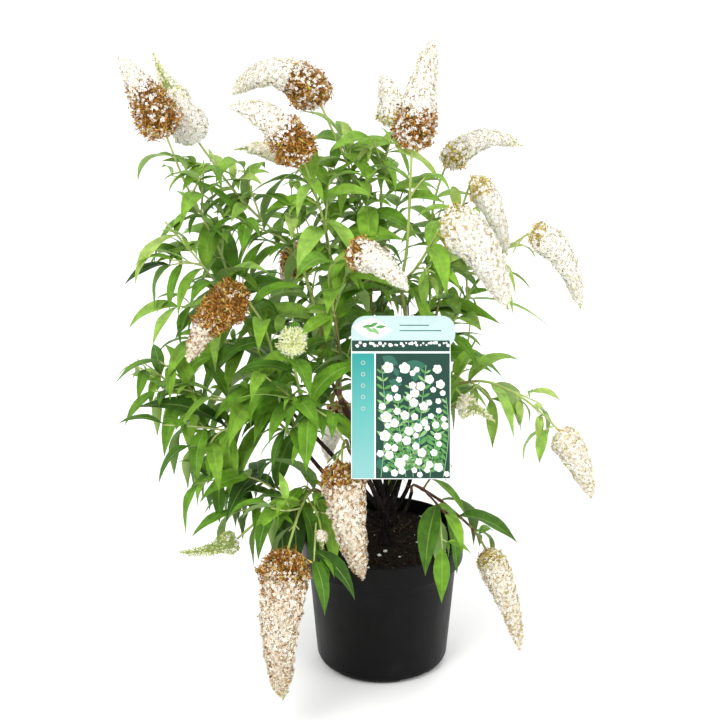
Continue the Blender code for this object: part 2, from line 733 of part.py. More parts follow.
def turned(profile, sides):
    """A closed body turned about +Z. The profile runs up the outside, from the axis to the axis."""
    points, faces = [Vector((0, 0, profile[0][1]))], []
    for radius, z in profile[1:-1]:
        for k in range(sides):
            angle = math.tau * k / sides
            points.append(Vector((radius * math.cos(angle), radius * math.sin(angle), z)))
    points.append(Vector((0, 0, profile[-1][1])))
    last = len(points) - 1
    for k in range(sides):
        after = (k + 1) % sides
        faces.append((0, 1 + after, 1 + k))
        for i in range(len(profile) - 3):
            a, b = 1 + i * sides + k, 1 + i * sides + after
            faces.append((a, b, b + sides, a + sides))
        faces.append((last, last - sides + k, last - sides + after))
    return points, faces


def extruded(outline, depth):
    """A closed plate: the outline in the XY plane, from z = 0 down to z = -depth."""
    count = len(outline)
    points = [Vector((x, y, z)) for z in (0, -depth) for x, y in outline]
    faces = [tuple(range(count)), tuple(reversed(range(count, 2 * count)))]
    for k in range(count):
        after = (k + 1) % count
        faces.append((after, k, k + count, after + count))
    return points, faces


def mesh_of(name, solid):
    points, faces = solid
    mesh = bpy.data.meshes.new(name)
    mesh.from_pydata(points, [], faces)
    mesh.update()
    return mesh


def place_object(name, mesh, colours, roughness):
    """An object for one sub-part, with one Principled material for each of its colours."""
    thing = bpy.data.objects.new(name, mesh)
    bpy.context.scene.collection.objects.link(thing)
    mesh.materials.clear()
    for colour in colours:
        mesh.materials.append(plain_material(colour, roughness))
    mesh.shade_smooth()
    mesh.set_sharp_from_angle(angle=SHARP_ANGLE)
    return thing


def plain_material(colour, roughness):
    red, green, blue = colour
    name = f"plain_{red:.3f}_{green:.3f}_{blue:.3f}"
    if name in bpy.data.materials:
        return bpy.data.materials[name]
    material = bpy.data.materials.new(name)
    material.use_nodes = True
    shader = material.node_tree.nodes["Principled BSDF"]
    shader.inputs["Base Color"].default_value = (red, green, blue, 1)
    shader.inputs["Roughness"].default_value = roughness
    shader.inputs["Metallic"].default_value = 0
    material.diffuse_color = (red, green, blue, 1)
    return material


def boolean(name, base_solid, others, operation, solver="EXACT"):
    """Join others to a solid, or cut them from it, with one Boolean on a collection."""
    base = bpy.data.objects.new(name, mesh_of(name, base_solid))
    bpy.context.scene.collection.objects.link(base)
    operands = bpy.data.collections.new(name + "_operands")
    bpy.context.scene.collection.children.link(operands)
    for k, solid in enumerate(others):
        operand = bpy.data.objects.new(f"{name}_operand_{k}", mesh_of(name, solid))
        operand.hide_render = True
        operand.display_type = "WIRE"
        operands.objects.link(operand)
    modifier = base.modifiers.new("Fuse", "BOOLEAN")
    modifier.operation = operation
    modifier.operand_type = "COLLECTION"
    modifier.collection = operands
    modifier.solver = solver
    bpy.context.view_layer.update()
    evaluated = base.evaluated_get(bpy.context.evaluated_depsgraph_get())
    mesh = bpy.data.meshes.new_from_object(evaluated)
    for operand in list(operands.objects):
        bpy.data.objects.remove(operand)
    bpy.data.collections.remove(operands)
    bpy.data.objects.remove(base)
    mesh.name = name
    return mesh


def largest_body(mesh):
    """Keep the largest shell of a mesh, which fills sealed hollows and drops loose scraps."""
    work = bmesh.new()
    work.from_mesh(mesh)
    bmesh.ops.remove_doubles(work, verts=work.verts, dist=WELD)
    left, shells = set(work.faces), []
    while left:
        shell, edge_of_shell = set(), [left.pop()]
        while edge_of_shell:
            face = edge_of_shell.pop()
            shell.add(face)
            for edge in face.edges:
                for near in edge.link_faces:
                    if near in left:
                        left.discard(near)
                        edge_of_shell.append(near)
        shells.append(shell)
    shells.sort(key=lambda shell: sum(face.calc_area() for face in shell))
    for shell in shells[:-1]:
        bmesh.ops.delete(work, geom=list(shell), context="FACES")
    loose = [vert for vert in work.verts if not vert.link_faces]
    bmesh.ops.delete(work, geom=loose, context="VERTS")
    closed = all(len(edge.link_faces) == 2 for edge in work.edges)
    work.to_mesh(mesh)
    work.free()
    return closed


def fused(name, solids):
    """One closed body from overlapping solids."""
    for solver in ("EXACT", "MANIFOLD"):
        mesh = boolean(name, solids[0], solids[1:], "UNION", solver)
        if largest_body(mesh):
            return mesh
    raise RuntimeError(f"{name} does not fuse into one closed body")


def pot_outline():
    """The outside of the pot as (radius, z), from its underside up to the rim."""
    slope = (BODY_TOP_RADIUS - FOOT_RADIUS) / COLLAR_FOOT
    corner = []
    for k in range(CORNER_STEPS + 1):
        angle = math.pi / 2 * k / CORNER_STEPS
        z = CORNER_RADIUS * (1 - math.cos(angle))
        corner.append((FOOT_RADIUS + slope * z - CORNER_RADIUS * (1 - math.sin(angle)), z))
    return corner + [
        (BODY_TOP_RADIUS, COLLAR_FOOT),
        (RIM_RADIUS - COLLAR_DRAFT, COLLAR_FOOT + COLLAR_STEP),
        (RIM_RADIUS - COLLAR_DRAFT / 2, COLLAR_FOOT + COLLAR_SHOULDER),
        (RIM_RADIUS, RIM_TOP - RIM_ROUND),
        (RIM_RADIUS - RIM_EDGE, RIM_TOP),
    ]


def pot_hollow():
    """The inside of the pot as (radius, z), from its rim down to its floor."""
    slope = (BODY_TOP_RADIUS - FOOT_RADIUS) / COLLAR_FOOT
    floor_radius = FOOT_RADIUS + slope * FLOOR - WALL - HOLLOW_DRAFT
    ledge = COLLAR_FOOT + WALL
    return [
        (RIM_RADIUS - WALL, RIM_TOP),
        (RIM_RADIUS - WALL, ledge + LEDGE_RISE / 2),
        (BODY_TOP_RADIUS - WALL, ledge - LEDGE_RISE / 2),
        (floor_radius, FLOOR + FLOOR_CORNER),
        (floor_radius - FLOOR_CORNER, FLOOR),
    ]


def make_pot():
    profile = [(0, 0), *pot_outline(), *pot_hollow(), (0, FLOOR)]
    blocks = []
    for k in range(FOOT_NOTCHES):
        middle = FOOT_NOTCH_TURN + math.tau * k / FOOT_NOTCHES
        outline = []
        for radius, way in ((FOOT_RADIUS - FOOT_NOTCH_DEPTH, 1), (RIM_RADIUS, -1)):
            for step in range(FOOT_NOTCH_STEPS + 1):
                turn = middle + way * FOOT_NOTCH_HALF_SPAN * (2 * step / FOOT_NOTCH_STEPS - 1)
                outline.append((radius * math.sin(turn), -radius * math.cos(turn)))
        points, faces = extruded(list(reversed(outline)), FOOT_NOTCH_HEIGHT * 2)
        blocks.append(([p + UP * FOOT_NOTCH_HEIGHT for p in points], faces))
    mesh = boolean("pot", turned(profile, POT_SIDES), blocks, "DIFFERENCE")
    return place_object("pot", mesh, [POT_COLOUR], 0.45)


def make_soil():
    """Potting soil that fills the pot to below its rim, level round the trunk and uneven elsewhere."""
    rng = random.Random(SOIL_SEED)
    hollow = [(radius - GAP, z + GAP) for radius, z in reversed(pot_hollow()[1:])]
    edge = (hollow[-1][0], SOIL_TOP - SOIL_EDGE_DROP)
    tops = [(radius, SOIL_TOP - drop) for radius, drop in SOIL_RINGS]
    profile = [(0, FLOOR + GAP), *hollow, edge, *tops, (0, SOIL_TOP)]
    points, faces = turned(profile, POT_SIDES)
    for point in points:
        on_top = point.z > SOIL_TOP - SOIL_EDGE_DROP - GAP
        if on_top and math.hypot(point.x, point.y) > SOIL_LEVEL_RADIUS:
            point.z += rng.uniform(*SOIL_UNEVEN)
    return place_object("soil", mesh_of("soil", (points, faces)), [SOIL_COLOUR], 0.95)


def trunk_ring(share):
    """The level ring of points round the trunk at a share of its height, with its root flare."""
    ring = []
    for k in range(TRUNK_SIDES):
        angle = math.tau * k / TRUNK_SIDES
        ribs = 1 + FLARE_RIB_DEPTH * math.cos(FLARE_RIBS * angle + 1)
        flare = (TRUNK_FLARE - TRUNK_RADIUS) * (1 - share) ** FLARE_POWER * ribs
        radius = TRUNK_RADIUS + (TRUNK_TOP_RADIUS - TRUNK_RADIUS) * share + flare
        offset = Vector((math.cos(angle), math.sin(angle), 0)) * radius
        ring.append(TRUNK_FOOT + TRUNK_RISE * share + offset)
    return ring


def make_trunk():
    """A short leaning trunk with a root flare, cut flat at the soil, and a stub for each bough."""
    solids = [skin([trunk_ring(k / TRUNK_STEPS) for k in range(TRUNK_STEPS + 1)])]
    for bough in BOUGHS.values():
        start, out = bough_start(bough)
        stub = [start, start + out * stub_length(bough)]
        solids.append(tube(stub, bough.radius * STUB_SWELL, bough.radius, BOUGH_SIDES))
    return place_object("trunk", fused("trunk", solids), [BARK_COLOUR], 0.85)


def make_boughs():
    for name, bough in BOUGHS.items():
        solid = tube(bough_line(bough), bough.radius, BOUGH_TIP_RADIUS, BOUGH_SIDES)
        place_object("bough_" + name, mesh_of(name, solid), [BARK_COLOUR], 0.8)


def rounded_rectangle(left, top, right, bottom, radii, steps=4):
    """An outline with a radius for each corner: left top, left bottom, right bottom, right top."""
    corners = ((left, top, 1, -1, 90), (left, bottom, 1, 1, 180), (right, bottom, -1, 1, 270),
               (right, top, -1, -1, 0))
    outline = []
    for (x, y, way_x, way_y, first), radius in zip(corners, radii):
        centre_x, centre_y = x + way_x * radius, y + way_y * radius
        for k in range(steps + 1):
            angle = math.radians(first + 90 * k / steps)
            outline.append((centre_x + radius * math.cos(angle), centre_y + radius * math.sin(angle)))
    return outline


def label_place():
    """From the label's own frame to the world: x across its face, y up it, z out of it."""
    up_face = Vector((0, math.sin(LABEL_TILT), math.cos(LABEL_TILT)))
    across = Vector((1, 0, 0))
    turn = Matrix((across, up_face, across.cross(up_face))).transposed().to_4x4()
    return Matrix.Translation(LABEL_TOP) @ turn


def moved(solid, place):
    points, faces = solid
    return [place @ point for point in points], faces


def stadium(x, front, back, radius, steps=6):
    """A long loop in the level plane, round at both ends."""
    outline = []
    for centre, first in ((back, 0), (front, 180)):
        for k in range(steps + 1):
            angle = math.radians(first + 180 * k / steps)
            outline.append((x + radius * math.cos(angle), centre + radius * math.sin(angle)))
    return outline


def label_loop():
    """A flat band from the back of the header, round the bough behind it."""
    face = label_place()
    front = face @ Vector((0, -LOOP_DROP, -HEADER_THICKNESS))
    line = bough_line(BOUGHS[LOOP_BOUGH])
    a, b = next((a, b) for a, b in zip(line, line[1:]) if b.z >= front.z)
    round_bough = a.lerp(b, (front.z - a.z) / (b.z - a.z))
    inner_radius = BOUGHS[LOOP_BOUGH].radius * LOOP_BOUGH_TAPER + LOOP_SLACK
    inner = stadium(round_bough.x, front.y + inner_radius, round_bough.y, inner_radius)
    outer = stadium(round_bough.x, front.y + inner_radius, round_bough.y, inner_radius + LOOP_WALL)
    points = []
    for (outer_x, outer_y), (inner_x, inner_y) in zip(outer, inner):
        for x, y, z in ((outer_x, outer_y, 1), (outer_x, outer_y, -1), (inner_x, inner_y, -1),
                        (inner_x, inner_y, 1)):
            points.append(Vector((x, y, front.z + z * LOOP_HEIGHT / 2)))
    faces = []
    for i in range(len(outer)):
        after = (i + 1) % len(outer)
        for k in range(4):
            near = (k + 1) % 4
            faces.append((4 * i + k, 4 * i + near, 4 * after + near, 4 * after + k))
    return points, faces


def label_solids():
    face = label_place()
    card_corners = (CARD_CORNER,) * 4
    card = rounded_rectangle(
        CARD_LEFT, -HEADER_HEIGHT / 2, CARD_RIGHT, -CARD_HEIGHT, card_corners, steps=2
    )
    header_corners = (HEADER_LEFT_TOP, HEADER_LEFT_FOOT, HEADER_RIGHT_END, HEADER_RIGHT_END)
    header = rounded_rectangle(CARD_LEFT, 0, HEADER_RIGHT, -HEADER_HEIGHT, header_corners)
    set_back = Matrix.Translation((0, 0, -(HEADER_THICKNESS - CARD_THICKNESS) / 2))
    return [
        moved(extruded(header, HEADER_THICKNESS), face),
        moved(extruded(card, CARD_THICKNESS), face @ set_back),
        label_loop(),
    ]


def make_label():
    """A printed card under a header strip, which hangs on a bough by its loop."""
    return place_object("label", fused("label", label_solids()), [LABEL_COLOUR], 0.35)


def hides_label(point):
    """Whether a point stands before the label, as one looks at it from the front and above."""
    place = label_place().inverted()
    at, sight = place @ point, place.to_3x3() @ SIGHT
    reach = -at.z / sight.z
    x, y = at.x + sight.x * reach, at.y + sight.y * reach
    inside = CARD_LEFT - LABEL_MARGIN < x < HEADER_RIGHT + LABEL_MARGIN
    return at.z > 0 and inside and -CARD_HEIGHT - LABEL_MARGIN < y < LABEL_MARGIN


def on_picture(places):
    """Places moved along the line of sight onto one plane through the origin."""
    sight = np.array(SIGHT)
    return places - np.outer(places @ sight, sight)


def tree_of(solids):
    """A search tree of the surfaces of some solids."""
    points, faces = [], []
    for solid_points, solid_faces in solids:
        first = len(points)
        points += solid_points
        faces += [tuple(first + i for i in face) for face in solid_faces]
    return BVHTree.FromPolygons(points, faces)


def twig_solid(twig, margin=0.0):
    return tube(twig.line, twig.foot_radius + margin, twig.tip_radius + margin, TWIG_SIDES)


class Piece(NamedTuple):
    """A twig or leaf that is built: its mass, its solid, its middle and two search trees, one of the
    whole and one without its root."""

    mass: str
    solid: tuple
    middle: Vector
    whole: BVHTree
    outer: BVHTree


class Thicket:
    """All the masses as they fill up. Each new twig or leaf is tested against all that is there."""

    def __init__(self, growths, flowers, fixed):
        self.growths = growths
        self.pieces = []
        self.fixed = fixed
        self.spans = {name: spans_of(growth) for name, growth in growths.items()}
        self.rivals = {
            name: np.concatenate([rows for other, rows in self.spans.items() if other != name])
            for name in growths
        }
        front = [
            (axis, flower) for growth in growths.values() for axis, flower in growth.flowers
            if flower.foot[1] < FRONT_DEPTH
        ]
        self.front_flowers = spans_of(Growth([], [], front))
        self.skeletons = {name: skeleton_solids(growth) + flowers[name] for name, growth in growths.items()}
        self.skeleton_trees = {name: tree_of(solids) for name, solids in self.skeletons.items()}
        self.flower_trees = {name: tree_of(solids) for name, solids in flowers.items() if solids}

    def in_space(self, name, points):
        """Whether points keep to their mass's space, the crown's reach and the label's clear view."""
        for point in points:
            if not CROWN_LEFT < point.x < CROWN_RIGHT or point.z < CROWN_FOOT or hides_label(point):
                return False
        places = np.array(points)
        if self.hides_flower(places):
            return False
        own = distances(places, self.spans[name])
        return bool((own < distances(places, self.rivals[name]) + SPACE_SLACK).all())

    def hides_flower(self, places):
        """Whether a point stands before one of the front's flowers, seen along the line of sight."""
        sight = np.array(SIGHT)
        rows = self.front_flowers
        flat = np.concatenate([on_picture(rows[:, :3]), on_picture(rows[:, 3:6]), rows[:, 6:]], axis=1)
        for place, flat_place in zip(places, on_picture(places)):
            behind = flat[rows[:, :3] @ sight > place @ sight]
            if len(behind) and distances(flat_place[None], behind)[0] < 0:
                return True
        return False

    def is_clear(self, name, padded, outer, middle):
        """Whether a new piece touches no limb, flower or other mass, nor crosses its own mass."""
        if padded.overlap(self.fixed):
            return False
        if name in self.flower_trees and padded.overlap(self.flower_trees[name]):
            return False
        for other, tree in self.skeleton_trees.items():
            if other != name and padded.overlap(tree):
                return False
        for piece in self.pieces:
            if (piece.middle - middle).length > NEIGHBOUR_REACH:
                continue
            if piece.mass == name and outer.overlap(piece.outer):
                return False
            if piece.mass != name and padded.overlap(piece.whole):
                return False
        return True

    def add(self, name, points, solid, padded, outer):
        """Build a twig or leaf if it finds room."""
        if not self.in_space(name, points):
            return False
        middle = points[len(points) // 2]
        outer_tree = tree_of([outer])
        if not self.is_clear(name, tree_of([padded]), outer_tree, middle):
            return False
        self.pieces.append(Piece(name, solid, middle, tree_of([solid]), outer_tree))
        return True

    def add_leaves(self, name, leaves):
        for leaf in leaves:
            points = [leaf_frames(leaf)[k][0] for k in SPACE_STEPS]
            padded = leaf_solid(leaf, LEAF_CLEARANCE)
            self.add(name, points, leaf_solid(leaf), padded, leaf_solid(leaf, 0, FREE_STEP))

    def fill(self):
        """Add the leaves of all stems first, and then the side twigs with theirs."""
        for name, growth in self.growths.items():
            for shoot in growth.stems:
                self.add_leaves(name, shoot.leaves)
        for name, growth in self.growths.items():
            for shoot in growth.side_shoots:
                outer = tube(shoot.twig.line[1:], TWIG_RADIUS, TWIG_RADIUS, TWIG_SIDES)
                padded = twig_solid(shoot.twig, LEAF_CLEARANCE)
                if self.add(name, shoot.twig.line, twig_solid(shoot.twig), padded, outer):
                    self.add_leaves(name, shoot.leaves)


def skeleton_solids(growth):
    return [twig_solid(shoot.twig) for shoot in growth.stems]


def colour_flowers(mesh, flowers):
    """Colour the faces on the flower spikes: withered at the foot, fresh, and in bud at the tip."""
    fresh, withered, bud = 1, 2, 3
    centres = np.array([polygon.center for polygon in mesh.polygons])
    for axis, flower in flowers:
        away = span_distances(centres, spans_of(Growth([], [], [(axis, flower)])))
        shares = (away.argmin(1) + 0.5) / SPIKE_STEPS
        for polygon, nearest, share in zip(mesh.polygons, away.min(1), shares):
            if nearest > FLOWER_SKIN:
                continue
            if share < flower.brown:
                polygon.material_index = withered
            elif share > 1 - flower.green:
                polygon.material_index = bud
            else:
                polygon.material_index = fresh


def make_masses():
    growths = {name: grow(name, seed) for seed, name in enumerate(MASSES, 1)}
    flowers = {}
    for name, growth in growths.items():
        rng = random.Random(name)
        flowers[name] = [spike_solid(axis, flower, rng) for axis, flower in growth.flowers]
    limbs = [tube(bough_line(b), b.radius, BOUGH_TIP_RADIUS, BOUGH_SIDES) for b in BOUGHS.values()]
    pot_skin = turned([(0, 0), *pot_outline(), (0, RIM_TOP)], POT_SIDES)
    thicket = Thicket(growths, flowers, tree_of([*limbs, pot_skin, *label_solids()]))
    thicket.fill()
    for name, growth in growths.items():
        foliage = [piece.solid for piece in thicket.pieces if piece.mass == name]
        mesh = fused("foliage_" + name, [*thicket.skeletons[name], *foliage])
        colours = [LEAF_COLOUR, FLOWER_COLOUR, WITHERED_COLOUR, BUD_COLOUR]
        place_object("foliage_" + name, mesh, colours if growth.flowers else colours[:1], 0.6)
        colour_flowers(mesh, growth.flowers)


def main():
    for thing in list(bpy.data.objects):
        bpy.data.objects.remove(thing)
    make_pot()
    make_soil()
    make_trunk()
    make_boughs()
    make_label()
    make_masses()


main()
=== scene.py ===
"""The looks of a white butterfly bush in a nursery pot, with its hanging plant label.

Metres, +Z up, front towards -Y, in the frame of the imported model. The bush grows here by the same
tables, rule and seeds as its solids, and goes on to finer leaves, tufts and florets in their reach.
"""

import functools
import json
import math
import random
from typing import NamedTuple

import bpy
import numpy as np
from mathutils import Matrix, Vector, noise

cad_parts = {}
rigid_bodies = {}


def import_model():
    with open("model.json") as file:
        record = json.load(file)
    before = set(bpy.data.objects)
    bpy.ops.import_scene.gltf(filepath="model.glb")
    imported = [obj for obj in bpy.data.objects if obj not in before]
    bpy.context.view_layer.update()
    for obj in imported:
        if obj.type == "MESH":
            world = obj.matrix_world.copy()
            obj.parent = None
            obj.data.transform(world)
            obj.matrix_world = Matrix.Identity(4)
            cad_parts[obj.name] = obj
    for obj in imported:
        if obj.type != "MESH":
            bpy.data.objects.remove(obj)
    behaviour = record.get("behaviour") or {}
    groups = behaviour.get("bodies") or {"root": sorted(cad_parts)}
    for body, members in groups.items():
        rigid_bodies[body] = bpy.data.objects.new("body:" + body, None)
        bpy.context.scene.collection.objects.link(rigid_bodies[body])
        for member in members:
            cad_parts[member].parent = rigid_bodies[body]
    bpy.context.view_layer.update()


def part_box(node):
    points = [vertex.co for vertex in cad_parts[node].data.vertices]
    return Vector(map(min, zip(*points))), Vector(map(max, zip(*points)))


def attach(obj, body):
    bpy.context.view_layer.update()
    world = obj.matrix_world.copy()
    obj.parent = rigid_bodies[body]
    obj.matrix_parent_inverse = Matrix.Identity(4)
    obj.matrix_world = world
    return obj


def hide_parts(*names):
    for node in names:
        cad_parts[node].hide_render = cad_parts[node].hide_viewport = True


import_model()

BODY = "root"
UP = Vector((0, 0, 1))
ACROSS = Vector((1, 0, 0))
ROUNDING = 1e-9
NO_LENGTH = 1e-12

# The camera: its place, how far it looks down, and its lens
CAMERA_PLACE = Vector((-0.0358, -3.296, 1.877))
SIGHT_FALL = math.radians(22.4)
SIGHT = Vector((0, math.cos(SIGHT_FALL), -math.sin(SIGHT_FALL)))
LENS_MM = 115

# The photograph's middle and the length of its lens, in its pixels, and the gaps between sprays that
# show its backdrop, as (left, top, right, bottom). A leaf is left out when more than this share of
# it lies in them.
PHOTO_FOCUS = 2300
PHOTO_MIDDLE = 360
BACKDROP_WINDOWS = {
    "over the upper left leaves": (118, 166, 166, 206),
    "left of the upper leaves": (100, 204, 139, 335),
    "under the end of the left spray": (100, 432, 150, 480),
    "under the left spray": (150, 464, 186, 530),
    "left of the pot": (232, 545, 258, 600),
    "under the right shoulder": (472, 302, 508, 346),
    "under the far right flower": (512, 330, 560, 374),
    "right of the label": (456, 405, 486, 446),
    "below and right of the label": (456, 452, 512, 504),
    "right of the pot": (518, 515, 550, 600),
}
BACKDROP_SHARE = 0.40

# The pot
RIM_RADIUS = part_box("pot")[1].x
RIM_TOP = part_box("pot")[1].z
COLLAR_FOOT = 0.181
BODY_TOP_RADIUS = 0.119
FOOT_RADIUS = 0.104
CORNER_RADIUS = 0.013
WALL = 0.0028
FLOOR = 0.010
FLOOR_CORNER = 0.005
HOLLOW_DRAFT = 0.004
FLAT_SHARE = 0.55
BODY_HEIGHTS = (CORNER_RADIUS, 0.03, 0.06, 0.10, 0.14, 0.165)
COLLAR_GROOVE = ((0, -0.0016), (0.0006, -0.0002))
COLLAR_ROUND = ((-0.0022, 0.0006), (-0.0009, 0.0018), (-0.0006, 0.0045))
RIM_BAND = ((-0.0002, -0.010), (0, -0.0045))
RIM_ROUND = 0.0011
RIM_INNER_ROUND = 0.0006
LEDGE_RISE = 0.001
FOOT_NOTCHES = 4
FOOT_NOTCH_HEIGHT = 0.0065
FOOT_NOTCH_DEPTH = 0.022
FOOT_NOTCH_HALF_SPAN = math.radians(16)
FOOT_NOTCH_TURN = math.radians(32)
FOOT_NOTCH_STEPS = 8
POT_SIDES = 144

# The soil: its surface, and the crumbs, chips, grit and dry twigs that lie on it. Each kind has a
# row of looks (name, colour, spread, scale, roughness), and each but the twigs a count and sizes.
SOIL_TOP = 0.204
SOIL_EDGE = 0.1265
SOIL_RINGS = 44
SOIL_SIDES = 120
SOIL_ROUGHNESS = 0.0030
SOIL_CRUMBS = 0.0011
SOIL_SINK = 0.0012
SOIL_EDGE_FALL = 0.004
SOIL_LEVEL_RADIUS = 0.07
SOIL_FALL_WIDTH = 0.055
CALM_RADIUS = 0.012
CALM_WIDTH = 0.03
CALM_LEAST = 0.25
CLOD_SCALE = 45
CLOD_LAYER = 3.1
CLOD_OCTAVES = (0.9, 2.1, 4)
CRUMB_SCALE = 420
CRUMB_LAYER = 7.7
SOIL_CLEARANCE = 0.0006
SOIL_SKIRT = 0.010
SOIL_SKIRT_TAPER = 0.002
SOIL_LEDGE = 0.004
BITS_SEED = 11
BITS_MARGIN = 0.006
BITS_LEAST = 0.02
BIT_LOOKS = (
    ("crumb_black", (0.006, 0.004, 0.003), 0.3, 300, 0.95),
    ("crumb_brown", (0.026, 0.015, 0.010), 0.3, 300, 0.90),
    ("bark_chip", (0.085, 0.048, 0.028), 0.3, 200, 0.85),
    ("white_grit", (0.950, 0.945, 0.925), 0.04, 500, 0.80),
    ("dry_twig", (0.070, 0.030, 0.020), 0.2, 200, 0.70),
)
BIT_COUNTS = (800, 500, 110, 34)
BIT_SIZES = ((0.0015, 0.0050), (0.0015, 0.0040), (0.0020, 0.0060), (0.0030, 0.0100))
BIT_SINK = 0.12
LUMP_HEIGHT = 0.7
LUMP_SIZES = (0.7, 1.3)
DRY_TWIGS = 16
DRY_TWIG_MARGIN = 0.020
DRY_TWIG_LEAST = 0.05
DRY_TWIG_SIDES = 5
DRY_TWIG_LENGTHS = (0.010, 0.034)
DRY_TWIG_RADII = (0.0003, 0.0007)
DRY_TWIG_BOW = 0.003
DRY_TWIG_WAVE = 1.1
DRY_TWIG_RISE = 0.0010
DRY_TWIG_STEPS = 5

# The trunk and its boughs
GAP = 0.0003
TRUNK_FOOT = Vector((0.005, 0.002, SOIL_TOP + GAP))
TRUNK_RISE = Vector((-0.002, 0.002, 0.080))
TRUNK_RADIUS = 0.0085
TRUNK_TOP_RADIUS = 0.0070
TRUNK_FLARE = 0.0145
FLARE_POWER = 6
FLARE_RIBS = 3
FLARE_RIB_DEPTH = 0.22
FLARE_TURN = 1
TRUNK_SIDES = 40
TRUNK_STEPS = 70
TRUNK_RELIEF = 0.0007
STUB_CLEARANCE = 0.004
BOUGH_SIDES = 14
BOUGH_STEPS = 6
BOUGH_FINE_STEPS = 48
BOUGH_RELIEF = 0.00030
BOUGH_BEND = 0.45
BOUGH_TIP_RADIUS = 0.0028
RIDGE_SCALES = (330, 45)
RIDGE_SHARE = 1.3
CRACK_SCALES = (800, 160)
CRACK_SHARE = 0.5

# The leaves of the solids, which fix where each leaf of the bush grows
INTERNODE = 0.037
LEAF_LENGTH = 0.138
LEAF_LENGTHS = (0.82, 1.12)
LEAF_SHRINK = 0.42
LEAF_WIDTH = 0.0420
LEAF_WIDTHS = (0.88, 1.12)
LEAF_WIDTH_POWER = 0.8
LEAF_LIFTS = (0.85, 1.25)
LEAF_BENDS = (0.75, 1.75)
LEAF_STEEPEST = 1.5
LEAF_ROLL = 0.5
PAIR_GAPS = (0.88, 1.12)
PAIR_WOBBLE = 0.25
TIP_PAIR_LENGTHS = (0.85, 1.10)
TIP_PAIR_SINK = 0.003
TIP_PAIR_LIFT = 0.6

# The least level part of a leaf's way and of its stem's, and the least side of a stem, before
# another direction takes its place
LEAF_LEVEL_LEAST = 0.15
STEM_LEVEL_LEAST = 1e-3
SIDE_LEAST = 0.2

# The twigs
STEM_RADIUS = 0.0020
STEM_TIP_RADIUS = 0.00126
STEM_LEAD = 0.012
STEM_SPACING = 0.034
STEM_BARE_FOOT = 0.026
STEM_BARE_TIP = 0.014
STEM_TIP_LEAF = 0.70
TWIG_RADIUS = 0.0014
TWIG_TIP_RADIUS = 0.00084
TWIG_SHARE = 0.26
TWIG_REACH = 0.75
TWIG_LENGTH = 0.080
TWIG_LENGTHS = (0.70, 1.35)
TWIG_OUT = 0.52
TWIG_ALONG = 0.85
TWIG_RISES = (-0.12, 0.20)
TWIG_BEND = 0.55
TWIG_STEPS = 2
TWIG_BARE_FOOT = 0.030
TWIG_BARE_TIP = 0.018
TWIG_INTERNODE = 0.033
TWIG_LEAF = 0.78
TWIG_TIP_LEAF = 0.62
FOOT_SPREAD = 1.08
AXIL = 0.005

# The finer twigs: their spacing of rings, sides, joints and colours
FINE_STEP = 0.006
STEM_THICKENING = 1.28
JOINT_SWELL = 1.3
STEM_SIDES = 8
SHOOT_SIDES = 6
TUFT_SIDES = 5
STEM_GREENNESS = 0.22
SHOOT_GREENNESS = 0.50
TUFT_GREENNESS = 0.75
GREEN_BY_HEIGHT = 0.9
GREEN_HEIGHT = 0.40
GREEN_OUTWARD = 3.2
GREEN_RADIUS = 0.09
STEM_TONE_SPREAD = 0.02

# The finer leaves: real proportions, a folded and rippled blade, and how their green is dealt, with painted
# light and shade in it
FINE_LENGTHS = (0.84, 1.16)
FINE_WIDTH = 0.25
FINE_WIDTHS = (0.85, 1.18)
FINE_BEND = 1.15
FINE_ROWS = 9
FINE_THICKNESS = 0.0005
FINE_TWIST = 0.55
BLADE_WIDEST_POWER = 0.72
BLADE_TIP_POWER = 1.15
STALK_HALF_WIDTH = 0.0006
FOLD_ANGLES = (0.10, 0.55)
FOLD_EASE = 0.6
RIPPLE_DEPTHS = (0.03, 0.12)
RIPPLE_WAVES = (9, 15)
RIPPLE_STARTS = (0, 6)
BLADE_BULGE = 0.10
TONE_SPREAD = 0.13
SPRAY_SPREAD = 0.09
UNDERSIDE_BOUND = 0.55
# Painted light and shade: leaves get darker tones low down, lighter ones high up (where they are also
# younger), and lighter still out on the right
BRIGHT_AT_FOOT = 0.11
BRIGHT_BY_HEIGHT = 0.80
PAINTED_LIGHT_TO_THE_RIGHT = 2.9
PAINTED_LIGHT_FROM = 0.07
PAINTED_LIGHT_HEIGHT = 0.35

# The tufts of small leaves in the axils
TUFT_SHARE = 0.32
TUFT_OUT = 0.75
TUFT_ALONG = 0.65
TUFT_START = 0.002
TUFT_STALK = (0.004, 0.022)
TUFT_LEAF = (0.030, 0.068)
TUFT_LIFTS = (0.5, 1.0)
TUFT_SHRINK = 0.3
TUFT_PAIRS = (1, 2)
TUFT_RADII = (0.0009, 0.0006)
TUFT_LIGHTER = 0.10

# How full a mass is: the share of its pairs of leaves that it keeps. The square of it thins out or
# adds to its tufts. A mass that isn't named has 1.
OPEN_MASSES = {
    "upper_left": 0.93, "right_spray": 0.72, "right_far": 0.62, "right_foot": 0.80, "right_inner": 0.75,
    "right_high": 0.75, "right_arch": 0.80, "upper_middle": 0.86, "top_centre": 0.82, "top_right": 0.90,
    "left_low": 0.88, "left_foot": 1.10, "front_left": 0.86, "front_foot": 1.15, "left_middle": 0.88,
    "back_left": 0.68, "back_middle": 0.66, "back_right": 0.66,
}

